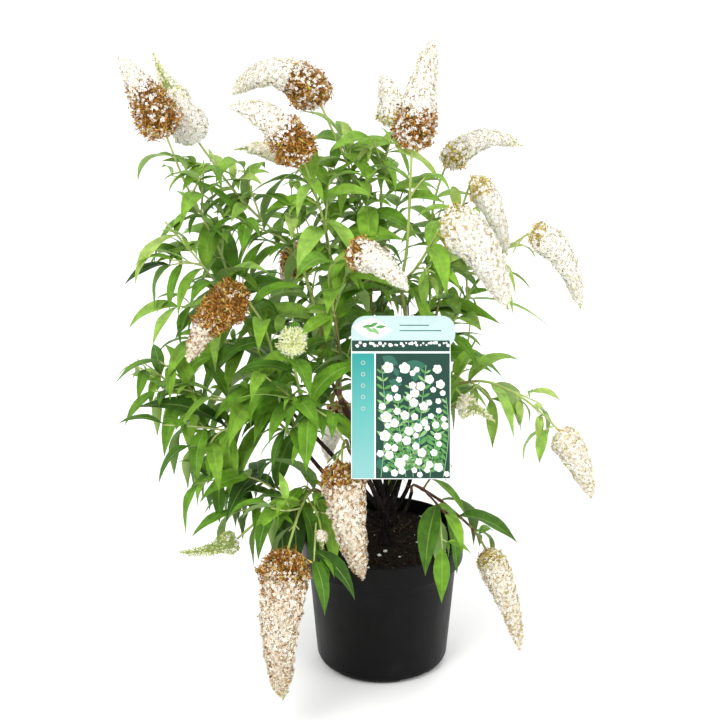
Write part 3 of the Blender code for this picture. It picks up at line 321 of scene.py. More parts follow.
# Further side twigs, where the photograph shows more foliage: the number of the stem, the share of
# its length where the twig leaves it, the place of the twig's tip, and the length of its leaves
MORE_TWIGS = {
    "upper_left": (
        (1, 0.55, (-0.325, -0.030, 0.685), 0.095), (0, 0.32, (-0.315, -0.020, 0.615), 0.095),
        (0, 0.20, (-0.290, -0.010, 0.555), 0.095), (0, 0.80, (-0.335, 0.005, 0.830), 0.095),
        (0, 0.75, (-0.262, 0.000, 0.835), 0.085),
    ),
    "left_low": (
        (0, 0.96, (-0.389, -0.048, 0.532), 0.045), (0, 0.90, (-0.376, -0.050, 0.540), 0.080),
        (0, 0.75, (-0.342, -0.060, 0.542), 0.090), (0, 0.70, (-0.315, -0.095, 0.510), 0.095),
        (1, 0.80, (-0.285, -0.125, 0.425), 0.095),
    ),
    "left_foot": ((0, 0.35, (-0.205, -0.130, 0.380), 0.095), (0, 0.10, (-0.125, -0.135, 0.365), 0.095)),
    "front_left": ((0, 0.20, (-0.110, -0.130, 0.430), 0.095), (0, 0.28, (-0.150, -0.140, 0.450), 0.095)),
    "front_foot": ((0, 0.25, (-0.086, -0.125, 0.400), 0.095),),
    "top_right": ((0, 0.60, (0.062, 0.000, 0.815), 0.085),),
    "top_right_back": ((0, 0.80, (-0.018, 0.050, 0.860), 0.085),),
    "right_shoulder": ((0, 0.35, (0.076, -0.075, 0.690), 0.095),),
    "right_arch": ((0, 0.60, (0.170, 0.045, 0.630), 0.070),),
    "right_far": ((0, 0.92, (0.200, 0.052, 0.676), 0.042),),
    "right_spray": ((0, 0.92, (0.250, -0.028, 0.410), 0.070), (0, 0.45, (0.170, -0.010, 0.455), 0.080)),
    "right_foot": ((0, 0.15, (0.096, -0.050, 0.365), 0.080), (0, 0.45, (0.140, -0.070, 0.310), 0.075)),
}
MORE_ARCH = 0.12
MORE_STEPS = 4

# How far leaves keep from the limits of their mass, the flowers, the label and the pot
BOX_SLACK = 0.012
MORE_SLACK = 0.020
FRONT_DEPTH = 0.16
FLOWER_CLEARANCE = 0.001
LABEL_MARGIN = 0.004
POT_SIDE_CLEARANCE = 0.006
POT_TOP_CLEARANCE = 0.004
CHECKED_STEPS = 8
CHECKED_WIDE_STEPS = (2, 4)
CHECKED_HALF_WIDTH = 0.45

# The flower spikes: their form, by the rule of the solids
SPIKE_STEPS = 10
SPIKE_BEND = 0.30
SPIKE_FOOT_GIRTH = 0.38
SPIKE_SWELL = 0.14
SPIKE_TAPER = 0.80
SPIKE_TAPER_START = 0.12
SPIKE_TAPER_POWER = 1.2
SPIKE_CLOSE = 0.22
BUD_GIRTH = 0.50
BUD_NARROWING = 0.35

# The core of a spike, behind its florets
CORE_GIRTHS = {"fresh": 0.80, "withered": 0.62, "bud": 0.50, "spidery": 0.30}
CORE_TONES = {"fresh": "core_pale", "withered": "core_brown", "bud": "core_green", "spidery": "core_green"}
CORE_SIDES = 14
CORE_STEP = 0.0035
CORE_RELIEF = 0.0022
CORE_RELIEF_SCALE = 240
CORE_RELIEF_SINK = 0.35
CORE_THINNING = 0.4
CORE_BLEND = 5
CORE_LEAST = 0.0008

# The florets: how many, where their kinds change, and their size, depth, lean and scatter
FLORET_AREA = 0.0000098
FLORET_SPAN = 0.0029
CROWDING = {"fresh": 1.0, "withered": 1.25, "bud": 0.62, "spidery": 0.42}
LAST_GIRTH = 0.985
PATCH_SCALE = 120
CLUSTER_SCALE = 170
CLUSTER_BLUR = 0.12
ZONE_BLUR = 0.030
ZONE_TAIL = 0.040
ZONE_TAIL_WARM = 0.09
ZONE_PATCHES = 0.16
ZONE_PATCHES_FROM = 0.05
GOLDEN_TURN = 3 - math.sqrt(5)
TURN_BLUR = 0.15
UPRIGHT = 0.9
LUMP_SCALE = 75
LUMP_DEPTH = 0.17
DRY_LUMP_DEPTH = 0.24
FLORET_REACH = 0.96
FLORET_LEAST_REACH = 0.4
FRESH_DEPTH = 0.0030
DRY_DEPTH = 0.0010
DRY_DEPTH_SPREAD = 0.0024
LONE_DRY_DEPTHS = (0.0010, 0.0034)
LEAN_AT_FOOT = 0.15
LEAN_AT_TIP = 0.9
LEAN_SPREAD = 0.26
DRY_LEAN_SPREAD = 0.50
FRESH_SIZES = (0.78, 1.20)
DRY_SIZES = (0.75, 1.55)
SIZE_SHRINK = 0.25
LONE_SIZE = 0.85
BUD_SIZE = 1.25
SPIDER_SIZE = 1.40
CRUMPLE = 0.05
DRY_CRUMPLE = 0.10
BLOSSOM_LIMIT = 136000

# The label, its loop and its print
LABEL_TOP = Vector((0.027, -0.105, 0.633))
LABEL_TILT = math.radians(24)
CARD_LEFT = -0.076
CARD_RIGHT = 0.072
CARD_HEIGHT = 0.243
CARD_THICKNESS = 0.0010
CARD_CORNER = 0.002
CARD_BEVEL = 0.0002
HEADER_RIGHT = 0.079
HEADER_HEIGHT = 0.048
HEADER_THICKNESS = 0.0022
HEADER_BEVEL = 0.0003
HEADER_LEFT_TOP = 0.022
HEADER_LEFT_FOOT = 0.003
HEADER_RIGHT_END = 0.020
LOOP_BOUGH = "mid_right"
LOOP_BOUGH_TAPER = 0.70
LOOP_DROP = 0.024
LOOP_HEIGHT = 0.005
LOOP_WALL = 0.0010
LOOP_SLACK = 0.0008
LOOP_STEPS = 12
PRINT_THICKNESS = 0.00015
SHEET = PRINT_THICKNESS * 0.9
PRINT_LEVELS = 5
PRINT_EDGE = 0.0012
PRINT_RULE = 0.0022
STRIP_TOP = -0.0368
STRIP_FOOT = -0.0530
PICTURE_TOP = -0.0560
BAND_WIDTH = 0.0345
PRINT_SEED = 4
INK_ROUGHNESS = 0.30
COAT = 0.12
INKS = {
    "card": ("card_white", (0.760, 0.780, 0.770)),
    "header": ("header_aqua", (0.460, 0.600, 0.595)),
    "band": ("print_band", (0.110, 0.420, 0.390)),
    "ground": ("print_ground", (0.012, 0.050, 0.036)),
    "ground_light": ("print_ground_light", (0.030, 0.130, 0.085)),
    "leaf": ("print_leaf", (0.090, 0.270, 0.070)),
    "leaf_pale": ("print_leaf_pale", (0.220, 0.420, 0.160)),
    "white": ("print_white", (0.800, 0.810, 0.790)),
    "shade": ("print_shade", (0.420, 0.480, 0.430)),
    "yellow": ("print_yellow", (0.700, 0.560, 0.200)),
    "ink": ("print_ink", (0.020, 0.130, 0.120)),
}

# The studio, with its lamps as (name, place, size, power)
FLOOR_REACH = 30
FLOOR_DROP = 0.0005
FLOOR_COLOUR = (0.92, 0.92, 0.92)
LIGHTS = (
    ("key", (-1.6, -2.6, 3.2), 2.0, 84),
    ("fill", (2.6, -1.8, 2.2), 2.4, 40),
    ("back", (0.8, 2.6, 2.8), 2.4, 40),
)
LIGHTS_AIM = Vector((0, 0, 0.5))
FAR_CLIP = 100


class Flower(NamedTuple):
    """A flower spike: the place of its foot and tip, its greatest width, the share of its length
    that is brown at the foot and green at the tip, and how far its middle is raised."""

    foot: tuple
    tip: tuple
    width: float
    brown: float
    green: float
    arch: float = 0.0


class Stem(NamedTuple):
    """A stem of a mass. It leaves the mass's first stem at a share of its length, passes through
    the places given, and ends in a flower spike, or in a tuft of leaves where flower is None."""

    start: float
    through: tuple
    flower: Flower


class Bough(NamedTuple):
    """A bough: how high on the trunk it leaves, its heading and rise there, its tip, and its radius
    at its foot."""

    height: float
    heading: float
    rise: float
    tip: tuple
    radius: float


BOUGHS = {
    "left_low": Bough(0.030, 196, 40, (-0.128, -0.054, 0.400), 0.0048),
    "left_high": Bough(0.047, 172, 50, (-0.150, 0.040, 0.420), 0.0046),
    "mid_left": Bough(0.060, 138, 62, (-0.080, 0.026, 0.470), 0.0044),
    "middle": Bough(0.074, 238, 68, (-0.062, -0.004, 0.450), 0.0044),
    "mid_back": Bough(0.062, 84, 60, (-0.014, 0.050, 0.470), 0.0044),
    "mid_right": Bough(0.070, 340, 68, (0.028, -0.012, 0.635), 0.0046),
    "right_back": Bough(0.050, 35, 58, (0.056, 0.052, 0.430), 0.0044),
    "right_low": Bough(0.036, 5, 52, (0.050, 0.002, 0.375), 0.0040),
    "right_foot": Bough(0.020, 330, 42, (0.046, -0.012, 0.298), 0.0034),
    "left_foot": Bough(0.022, 222, 36, (-0.098, -0.072, 0.325), 0.0040),
    "front_foot": Bough(0.040, 258, 50, (-0.048, -0.084, 0.395), 0.0038),
    "back_left": Bough(0.034, 120, 48, (-0.075, 0.100, 0.390), 0.0042),
    "back_right": Bough(0.026, 62, 44, (0.045, 0.120, 0.360), 0.0042),
}


# Each mass of foliage: the bough that it grows from, and its stems
MASSES = {
    "upper_left": ("left_high", (
        Stem(0, ((-0.185, 0.044, 0.490), (-0.215, 0.040, 0.566), (-0.252, 0.030, 0.689),
                 (-0.296, 0.020, 0.790)),
             Flower((-0.326, 0.000, 0.884), (-0.389, -0.010, 1.004), 0.068, 0.62, 0.0)),
        Stem(0.40, ((-0.259, -0.010, 0.656), (-0.284, -0.024, 0.697), (-0.328, -0.030, 0.755)), None),
    )),
    "upper_middle": ("mid_left", (
        Stem(0, ((-0.100, 0.030, 0.570), (-0.118, 0.032, 0.640), (-0.145, 0.042, 0.690),
                 (-0.198, 0.050, 0.742), (-0.232, 0.052, 0.782)),
             Flower((-0.282, 0.060, 0.853), (-0.347, 0.080, 0.985), 0.064, 0.0, 0.42)),
    )),
    "top_centre": ("middle", (
        Stem(0, ((-0.070, -0.004, 0.550), (-0.076, -0.002, 0.640), (-0.086, 0.000, 0.722),
                 (-0.105, -0.010, 0.800)),
             Flower((-0.121, -0.020, 0.848), (-0.228, -0.040, 0.934), 0.066, 0.42, 0.0, 0.030)),
        Stem(0.55, ((-0.100, 0.050, 0.760),),
             Flower((-0.141, 0.100, 0.811), (-0.231, 0.120, 0.821), 0.036, 0.15, 0.25)),
    )),
    "top_back": ("mid_back", (
        Stem(0, ((-0.018, 0.058, 0.580), (-0.022, 0.062, 0.680), (-0.033, 0.066, 0.743),
                 (-0.050, 0.074, 0.800), (-0.077, 0.080, 0.862)),
             Flower((-0.096, 0.080, 0.905), (-0.230, 0.090, 0.918), 0.066, 0.38, 0.0, 0.050)),
    )),
    "top_right_back": ("mid_back", (
        Stem(0, ((-0.002, 0.076, 0.580), (-0.001, 0.090, 0.680), (-0.002, 0.100, 0.780)),
             Flower((0.016, 0.115, 0.862), (-0.005, 0.150, 0.934), 0.055, 0.25, 0.0)),
    )),
    "top_right": ("mid_right", (
        Stem(0, ((0.034, -0.004, 0.690), (0.038, 0.000, 0.750), (0.040, 0.000, 0.810)),
             Flower((0.042, 0.000, 0.862), (0.075, 0.020, 1.027), 0.066, 0.34, 0.0)),
    )),
    "front_middle": ("middle", (
        Stem(0, ((-0.066, -0.034, 0.540), (-0.078, -0.066, 0.640), (-0.080, -0.095, 0.705)),
             Flower((-0.050, -0.120, 0.738), (0.034, -0.170, 0.698), 0.052, 0.22, 0.0)),
    )),
    "right_shoulder": ("mid_right", (
        Stem(0, ((0.048, -0.030, 0.680), (0.070, -0.048, 0.725)),
             Flower((0.088, -0.050, 0.758), (0.186, -0.085, 0.636), 0.075, 0.12, 0.06)),
    )),
    "right_high": ("right_back", (
        Stem(0, ((0.062, 0.076, 0.530), (0.070, 0.092, 0.640), (0.080, 0.112, 0.740)),
             Flower((0.098, 0.120, 0.795), (0.218, 0.140, 0.820), 0.046, 0.26, 0.08, 0.025)),
    )),
    "right_arch": ("right_back", (
        Stem(0, ((0.076, 0.056, 0.530), (0.094, 0.056, 0.630), (0.112, 0.050, 0.720)),
             Flower((0.132, 0.052, 0.786), (0.192, 0.052, 0.672), 0.046, 0.16, 0.0)),
    )),
    "right_far": ("right_back", (
        Stem(0, ((0.090, 0.066, 0.510), (0.135, 0.076, 0.600), (0.187, 0.070, 0.672)),
             Flower((0.228, 0.060, 0.706), (0.307, 0.036, 0.589), 0.052, 0.12, 0.06)),
    )),
    "left_middle": ("left_low", (
        Stem(0, ((-0.147, -0.048, 0.470), (-0.166, -0.062, 0.545), (-0.182, -0.068, 0.606)),
             Flower((-0.208, -0.080, 0.652), (-0.292, -0.130, 0.569), 0.064, 0.58, 0.0)),
    )),
    "left_low": ("left_low", (
        Stem(0, ((-0.168, -0.064, 0.448), (-0.234, -0.062, 0.474), (-0.300, -0.046, 0.480),
                 (-0.345, -0.036, 0.496)), None),
        Stem(0.30, ((-0.250, -0.100, 0.440), (-0.280, -0.130, 0.400)), None),
    )),
    "front_left": ("left_low", (
        Stem(0, ((-0.118, -0.096, 0.462), (-0.134, -0.130, 0.560)),
             Flower((-0.136, -0.165, 0.615), (-0.129, -0.235, 0.625), 0.050, 0.0, 0.2)),
        Stem(0.35, ((-0.110, -0.150, 0.505), (-0.085, -0.175, 0.500)), None),
    )),
    "right_spray": ("right_low", (
        Stem(0, ((0.072, 0.008, 0.430), (0.097, 0.010, 0.462), (0.125, 0.014, 0.474),
                 (0.165, 0.012, 0.476), (0.211, 0.002, 0.458), (0.247, -0.008, 0.433)),
             Flower((0.276, -0.018, 0.405), (0.327, -0.050, 0.304), 0.054, 0.0, 0.0)),
    )),
    "right_inner": ("right_low", (
        Stem(0, ((0.072, -0.024, 0.430),),
             Flower((0.116, -0.044, 0.462), (0.172, -0.060, 0.440), 0.042, 0.0, 0.75)),
    )),
    "right_foot": ("right_foot", (
        Stem(0, ((0.090, -0.030, 0.292), (0.117, -0.040, 0.272), (0.144, -0.050, 0.248)),
             Flower((0.164, -0.060, 0.218), (0.218, -0.100, 0.062), 0.052, 0.10, 0.0)),
        Stem(0.20, ((0.080, -0.075, 0.312), (0.098, -0.100, 0.300)), None),
    )),
    "left_foot": ("left_foot", (
        Stem(0, ((-0.150, -0.088, 0.322), (-0.190, -0.104, 0.296)),
             Flower((-0.226, -0.118, 0.268), (-0.314, -0.140, 0.257), 0.052, 0.0, 1.0)),
        Stem(0.34, ((-0.190, -0.060, 0.350), (-0.240, -0.062, 0.352)), None),
    )),
    "front_left_foot": ("left_foot", (
        Stem(0, ((-0.112, -0.120, 0.350), (-0.128, -0.175, 0.342)),
             Flower((-0.144, -0.220, 0.300), (-0.153, -0.250, 0.061), 0.080, 0.16, 0.03)),
        Stem(0.42, ((-0.100, -0.160, 0.330),),
             Flower((-0.094, -0.185, 0.315), (-0.092, -0.205, 0.292), 0.022, 0.0, 0.5)),
    )),
    "front_foot": ("front_foot", (
        Stem(0, ((-0.056, -0.120, 0.436), (-0.062, -0.145, 0.438)),
             Flower((-0.063, -0.164, 0.418), (-0.031, -0.190, 0.237), 0.071, 0.16, 0.0)),
    )),
    "back_left": ("back_left", (
        Stem(0, ((-0.100, 0.136, 0.470), (-0.118, 0.180, 0.560)),
             Flower((-0.130, 0.232, 0.600), (-0.160, 0.330, 0.500), 0.060, 0.30, 0.0)),
        Stem(0.30, ((-0.170, 0.170, 0.500), (-0.230, 0.190, 0.530)), None),
    )),
    "back_middle": ("back_left", (
        Stem(0, ((-0.062, 0.140, 0.470), (-0.036, 0.200, 0.570)),
             Flower((-0.022, 0.240, 0.610), (0.000, 0.330, 0.520), 0.056, 0.20, 0.1)),
    )),
    "back_right": ("back_right", (
        Stem(0, ((0.075, 0.160, 0.420), (0.085, 0.195, 0.460)),
             Flower((0.088, 0.222, 0.462), (0.105, 0.290, 0.352), 0.054, 0.15, 0.0)),
        Stem(0.35, ((0.120, 0.130, 0.450), (0.150, 0.130, 0.500)), None),
    )),
    "back_low": ("back_right", (
        Stem(0, ((0.010, 0.160, 0.380), (-0.030, 0.200, 0.370)),
             Flower((-0.060, 0.225, 0.340), (-0.090, 0.270, 0.220), 0.050, 0.25, 0.0)),
        Stem(0.30, ((0.020, 0.200, 0.330), (0.045, 0.235, 0.300)), None),
    )),
}


# The boughs whose masses are joined into the pieces of each zone
ZONES = {
    "left": ("left_high", "left_low", "left_foot"),
    "middle": ("mid_left", "middle", "mid_back", "front_foot"),
    "right": ("mid_right", "right_back", "right_low", "right_foot"),
    "back": ("back_left", "back_right"),
}


class Leaf(NamedTuple):
    """A leaf: its root, heading (a level unit vector), pitch at the root, how far it bends down,
    its length, width and roll about its own line."""

    root: Vector
    heading: Vector
    pitch: float
    bend: float
    length: float
    width: float
    roll: float


class Axil(NamedTuple):
    """Where a leaf leaves its stem: the place, the way out and the stem's own direction."""

    place: Vector
    out: Vector
    along: Vector


class Shoot(NamedTuple):
    """A twig, as its line and its radius at both ends, with its leaves and their axils."""

    line: list
    foot_radius: float
    tip_radius: float
    leaves: list
    axils: list


class Growth(NamedTuple):
    """All that one mass holds: its stems, its side shoots, and each flower with its axis."""

    stems: list
    side_shoots: list
    flowers: list


# How the bush grows, by the rule of its solids

def bezier(a, b, c, t):
    """The place at a share t of a curve that starts at a, heads for b and ends at c."""
    return a * (1 - t) ** 2 + b * 2 * t * (1 - t) + c * t * t


def bent_line(a, b, c, steps):
    """The whole of such a curve, as points."""
    return [bezier(a, b, c, k / steps) for k in range(steps + 1)]


def smooth_line(places, spacing):
    """A Catmull-Rom curve through the places, as points about one spacing apart."""
    ends = [places[0] * 2 - places[1], *places, places[-1] * 2 - places[-2]]
    line = [places[0]]
    for i in range(1, len(ends) - 2):
        a, b, c, d = ends[i - 1 : i + 3]
        steps = max(1, round((c - b).length / spacing))
        for k in range(1, steps + 1):
            t = k / steps
            line.append(
                (b * 2 + (c - a) * t + (a * 2 - b * 5 + c * 4 - d) * t**2
                 + (b * 3 - a - c * 3 + d) * t**3) * 0.5
            )
    return line


def lengths_along(line):
    """How far along a line each of its points lies."""
    total = [0.0]
    for a, b in zip(line, line[1:]):
        total.append(total[-1] + (b - a).length)
    return total


def place_along(line, distance):
    """(point, direction) at a distance along a line."""
    totals = lengths_along(line)
    distance = min(max(distance, 0.0), totals[-1])
    i = max(1, next(k for k, total in enumerate(totals) if total >= distance - ROUNDING))
    a, b = line[i - 1], line[i]
    share = (distance - totals[i - 1]) / (totals[i] - totals[i - 1])
    return a.lerp(b, share), (b - a).normalized()


def spoke(side, other, angle):
    """The direction at an angle in the plane of two others that are square to each other."""
    return side * math.cos(angle) + other * math.sin(angle)


def bough_start(bough):
    """(the place on the trunk's axis, the direction) where a bough leaves."""
    heading, rise = math.radians(bough.heading), math.radians(bough.rise)
    out = Vector(
        (math.cos(heading) * math.cos(rise), math.sin(heading) * math.cos(rise), math.sin(rise))
    )
    return TRUNK_FOOT + TRUNK_RISE * (bough.height / TRUNK_RISE.z), out


def stub_length(bough):
    """How far a stub reaches, so that its end stands clear of the trunk's side or top."""
    start, out = bough_start(bough)
    rise = math.radians(bough.rise)
    side = (TRUNK_RADIUS + bough.radius * math.sin(rise) + STUB_CLEARANCE) / math.cos(rise)
    trunk_top = TRUNK_FOOT.z + TRUNK_RISE.z
    top = (trunk_top - start.z + bough.radius * math.cos(rise) + STUB_CLEARANCE) / math.sin(rise)
    return min(side, top)


def bough_line(bough, steps=BOUGH_STEPS):
    """The line of a bough, from just past its stub on the trunk to its tip."""
    start, out = bough_start(bough)
    foot = start + out * (stub_length(bough) + GAP)
    tip = Vector(bough.tip)
    return bent_line(foot, foot + out * ((tip - foot).length * BOUGH_BEND), tip, steps)


def flower_line(flower, direction):
    """The axis of a flower spike: it leaves its foot the way that its stem points, and bends to its tip."""
    foot, tip = Vector(flower.foot), Vector(flower.tip)
    chord = (tip - foot).length
    middle = foot.lerp(tip, SPIKE_BEND) + direction * (chord * SPIKE_BEND) + UP * flower.arch
    return bent_line(foot, middle, tip, SPIKE_STEPS)


def flower_girth(share, green):
    """The radius of a flower spike at a share of its length, as a share of its greatest. It is
    slender where it is still in bud, over the green share at its tip."""
    swell = min(1.0, SPIKE_FOOT_GIRTH + (1 - SPIKE_FOOT_GIRTH) * math.sqrt(share / SPIKE_SWELL))
    taper = 1 - SPIKE_TAPER * max(0.0, share - SPIKE_TAPER_START) ** SPIKE_TAPER_POWER
    close = math.sqrt(max(0.0, 1 - max(0.0, 1 - (1 - share) / SPIKE_CLOSE) ** 2))
    in_bud = (share - 1 + green) / (green * BUD_NARROWING) if green else 0.0
    buds = 1 - (1 - BUD_GIRTH) * max(0.0, min(1.0, in_bud))
    return swell * taper * close * buds


def leaf_at(rng, root, direction, along, length, lift):
    """A leaf in the axis of a stem: it points out and along the stem, then bends down."""
    out = spoke(along, direction, lift).normalized()
    level = Vector((out.x, out.y, 0))
    if level.length < LEAF_LEVEL_LEAST:
        level = Vector((direction.x, direction.y, 0))
    if level.length < STEM_LEVEL_LEAST:
        level = ACROSS
    pitch = math.asin(max(-1, min(1, out.z)))
    bend = rng.uniform(*LEAF_BENDS)
    width = LEAF_WIDTH * (length / LEAF_LENGTH) ** LEAF_WIDTH_POWER * rng.uniform(*LEAF_WIDTHS)
    roll = rng.uniform(-LEAF_ROLL, LEAF_ROLL)
    return Leaf(root, level.normalized(), pitch, bend, length, width, roll)


def pairs_along(rng, line, first, last, gap, length):
    """Opposite pairs of leaves along a line, each pair turned a right angle from the last, as rows
    of (leaf, axil)."""
    total = lengths_along(line)[-1]
    turn = rng.uniform(0, math.pi)
    found, distance = [], first
    while distance <= total - last:
        place, along = place_along(line, distance)
        side = along.cross(UP)
        side = side.normalized() if side.length > SIDE_LEAST else ACROSS
        other = along.cross(side).normalized()
        share = distance / total
        for way in (0, math.pi):
            out = spoke(side, other, turn + way + rng.uniform(-PAIR_WOBBLE, PAIR_WOBBLE))
            size = length * (1 - LEAF_SHRINK * share**2) * rng.uniform(*LEAF_LENGTHS)
            leaf = leaf_at(rng, place, out, along, size, rng.uniform(*LEAF_LIFTS))
            found.append((leaf, Axil(place, out, along)))
        turn += math.pi / 2
        distance += gap * rng.uniform(*PAIR_GAPS)
    return found


def tip_pair(rng, line, length):
    """The pair of small leaves at the tip of a stem or twig."""
    place, along = place_along(line, lengths_along(line)[-1] - TIP_PAIR_SINK)
    side = along.orthogonal().normalized()
    other = along.cross(side)
    turn = rng.uniform(0, math.pi)
    found = []
    for way in (0, math.pi):
        out = spoke(side, other, turn + way)
        size = length * rng.uniform(*TIP_PAIR_LENGTHS)
        found.append(leaf_at(rng, place, out, along, size, TIP_PAIR_LIFT))
    return found


def side_twig(rng, axil):
    """The line of a side twig. It starts in a leaf's axil, just above the leaf."""
    length = TWIG_LENGTH * rng.uniform(*TWIG_LENGTHS)
    away = (axil.out * TWIG_OUT + axil.along * TWIG_ALONG).normalized()
    start = axil.place + axil.along * AXIL
    end = start + away * length + UP * (length * rng.uniform(*TWIG_RISES))
    return bent_line(start, start + away * (length * TWIG_BEND), end, TWIG_STEPS)


def leafy_twig(rng, line, length, tip_length):
    """A twig along a line, with pairs of leaves on the way and one pair at its tip."""
    pairs = pairs_along(rng, line, TWIG_BARE_FOOT, TWIG_BARE_TIP, TWIG_INTERNODE, length)
    leaves = [leaf for leaf, _ in pairs] + tip_pair(rng, line, tip_length)
    return Shoot(line, TWIG_RADIUS, TWIG_TIP_RADIUS, leaves, [axil for _, axil in pairs])


def foot_offset(name):
    """How far a mass's stem stands off the middle of its bough's tip. Stems that share a tip stand
    evenly round it, in the order of the ways that they go."""
    bough = MASSES[name][0]
    sharing = [other for other in MASSES if MASSES[other][0] == bough]
    if len(sharing) == 1:
        return Vector((0, 0, 0))
    line = bough_line(BOUGHS[bough])
    along = (line[-1] - line[-2]).normalized()
    side = along.orthogonal().normalized()
    other_side = along.cross(side)

    def bearing(mass):
        aim = Vector(MASSES[mass][1][0].through[0]) - line[-1]
        return math.atan2(aim.dot(other_side), aim.dot(side))

    sharing.sort(key=bearing)
    turns = [bearing(mass) - math.tau * k / len(sharing) for k, mass in enumerate(sharing)]
    first = math.atan2(sum(map(math.sin, turns)), sum(map(math.cos, turns)))
    distance = (STEM_RADIUS * FOOT_SPREAD + GAP) / math.sin(math.pi / len(sharing))
    return spoke(side, other_side, first + math.tau * sharing.index(name) / len(sharing)) * distance


def stem_lines(name):
    """The line of each stem of a mass, and of the axis of its flower, or None."""
    bough_name, stems = MASSES[name]
    tip_line = bough_line(BOUGHS[bough_name])
    along = (tip_line[-1] - tip_line[-2]).normalized()
    lines = []
    for k, stem in enumerate(stems):
        if k == 0:
            start = tip_line[-1] + along * GAP + foot_offset(name)
            places = [start, start + along * STEM_LEAD]
        else:
            start, _ = place_along(lines[0][0], stem.start * lengths_along(lines[0][0])[-1])
            places = [start]
        places += [Vector(p) for p in stem.through]
        if stem.flower:
            places.append(Vector(stem.flower.foot))
        line = smooth_line(places, STEM_SPACING)
        axis = flower_line(stem.flower, (line[-1] - line[-2]).normalized()) if stem.flower else None
        lines.append((line, axis))
    return lines


def grow(name, seed):
    """The stems, side shoots, leaves and flowers of one mass, by a seeded rule."""
    rng = random.Random(seed)
    growth = Growth([], [], [])
    stems = MASSES[name][1]
    for k, (line, axis) in enumerate(stem_lines(name)):
        leaves, axils = [], []
        if axis:
            growth.flowers.append((axis, stems[k].flower))
        else:
            leaves += tip_pair(rng, line, LEAF_LENGTH * STEM_TIP_LEAF)
        pairs = pairs_along(rng, line, STEM_BARE_FOOT, STEM_BARE_TIP, INTERNODE, LEAF_LENGTH)
        for leaf, axil in pairs:
            leaves.append(leaf)
            axils.append(axil)
            height = (axil.place - line[0]).length / (line[-1] - line[0]).length
            if rng.random() < TWIG_SHARE and height < TWIG_REACH:
                twig = side_twig(rng, axil)
                shoot = leafy_twig(rng, twig, LEAF_LENGTH * TWIG_LEAF, LEAF_LENGTH * TWIG_TIP_LEAF)
                growth.side_shoots.append(shoot)
        whole = line + [axis[1]] if axis else line
        foot_radius = STEM_RADIUS if k == 0 else TWIG_RADIUS
        growth.stems.append(Shoot(whole, foot_radius, STEM_TIP_RADIUS, leaves, axils))
    return growth


# Where growth must keep clear

def flower_spans(flowers):
    """Flower spikes as rows of (start, end, radius)."""
    rows = []
    for axis, flower in flowers:
        for k, (a, b) in enumerate(zip(axis, axis[1:])):
            share = (k + 0.5) / (len(axis) - 1)
            rows.append((*a, *b, flower.width / 2 * flower_girth(share, flower.green)))
    return np.array(rows)


def distances(points, spans):
    """How far each point lies from the nearest of the spans' surfaces."""
    a, b, radius = spans[:, :3], spans[:, 3:6], spans[:, 6]
    along = b - a
    share = ((points[:, None] - a) * along).sum(2) / np.maximum((along**2).sum(1), NO_LENGTH)
    nearest = a + along * np.clip(share, 0, 1)[:, :, None]
    return (np.linalg.norm(points[:, None] - nearest, axis=2) - radius).min(1)


def label_place():
    """From the label's own frame to the world: x across its face, y up it, z out of it."""
    up_face = Vector((0, math.sin(LABEL_TILT), math.cos(LABEL_TILT)))
    turn = Matrix((ACROSS, up_face, ACROSS.cross(up_face))).transposed().to_4x4()
    return Matrix.Translation(LABEL_TOP) @ turn


def hides_label(point):
    """Whether a point stands before the label, as one looks at it from the front and above."""
    place = label_place().inverted()
    at, sight = place @ Vector(point), place.to_3x3() @ SIGHT
    reach = -at.z / sight.z
    x, y = at.x + sight.x * reach, at.y + sight.y * reach
    inside = CARD_LEFT - LABEL_MARGIN < x < HEADER_RIGHT + LABEL_MARGIN
    return at.z > 0 and inside and -CARD_HEIGHT - LABEL_MARGIN < y < LABEL_MARGIN


def on_picture(places):
    """Places moved along the line of sight onto one plane through the origin."""
    sight = np.array(SIGHT)
    return places - np.outer(places @ sight, sight)


def before_backdrop(places):
    """Whether too much of a leaf would stand where the photograph shows backdrop between sprays."""
    away = places - np.array(CAMERA_PLACE)
    scale = PHOTO_FOCUS / (away @ np.array(SIGHT))
    across = PHOTO_MIDDLE + away[:, 0] * scale
    down = PHOTO_MIDDLE - away @ np.array((0, math.sin(SIGHT_FALL), math.cos(SIGHT_FALL))) * scale
    inside = np.zeros(len(places), bool)
    for left, top, right, bottom in BACKDROP_WINDOWS.values():
        inside |= (across > left) & (across < right) & (down > top) & (down < bottom)
    return inside.mean() > BACKDROP_SHARE


def checked_places(leaf):
    """Places on a leaf: along its midrib from a quarter of it to its tip, and at its widest."""
    level = np.array(leaf.heading)
    side = np.cross(level, np.array(UP)) * (leaf.width * CHECKED_HALF_WIDTH)
    point, places = np.array(leaf.root), []
    for k in range(CHECKED_STEPS):
        pitch = max(leaf.pitch - leaf.bend * k / CHECKED_STEPS, -LEAF_STEEPEST)
        ahead = level * math.cos(pitch) + np.array(UP) * math.sin(pitch)
        point = point + ahead * leaf.length / CHECKED_STEPS
        if k % 2:
            places.append(point)
        if k in CHECKED_WIDE_STEPS:
            places += [point + side, point - side]
    return np.array(places)


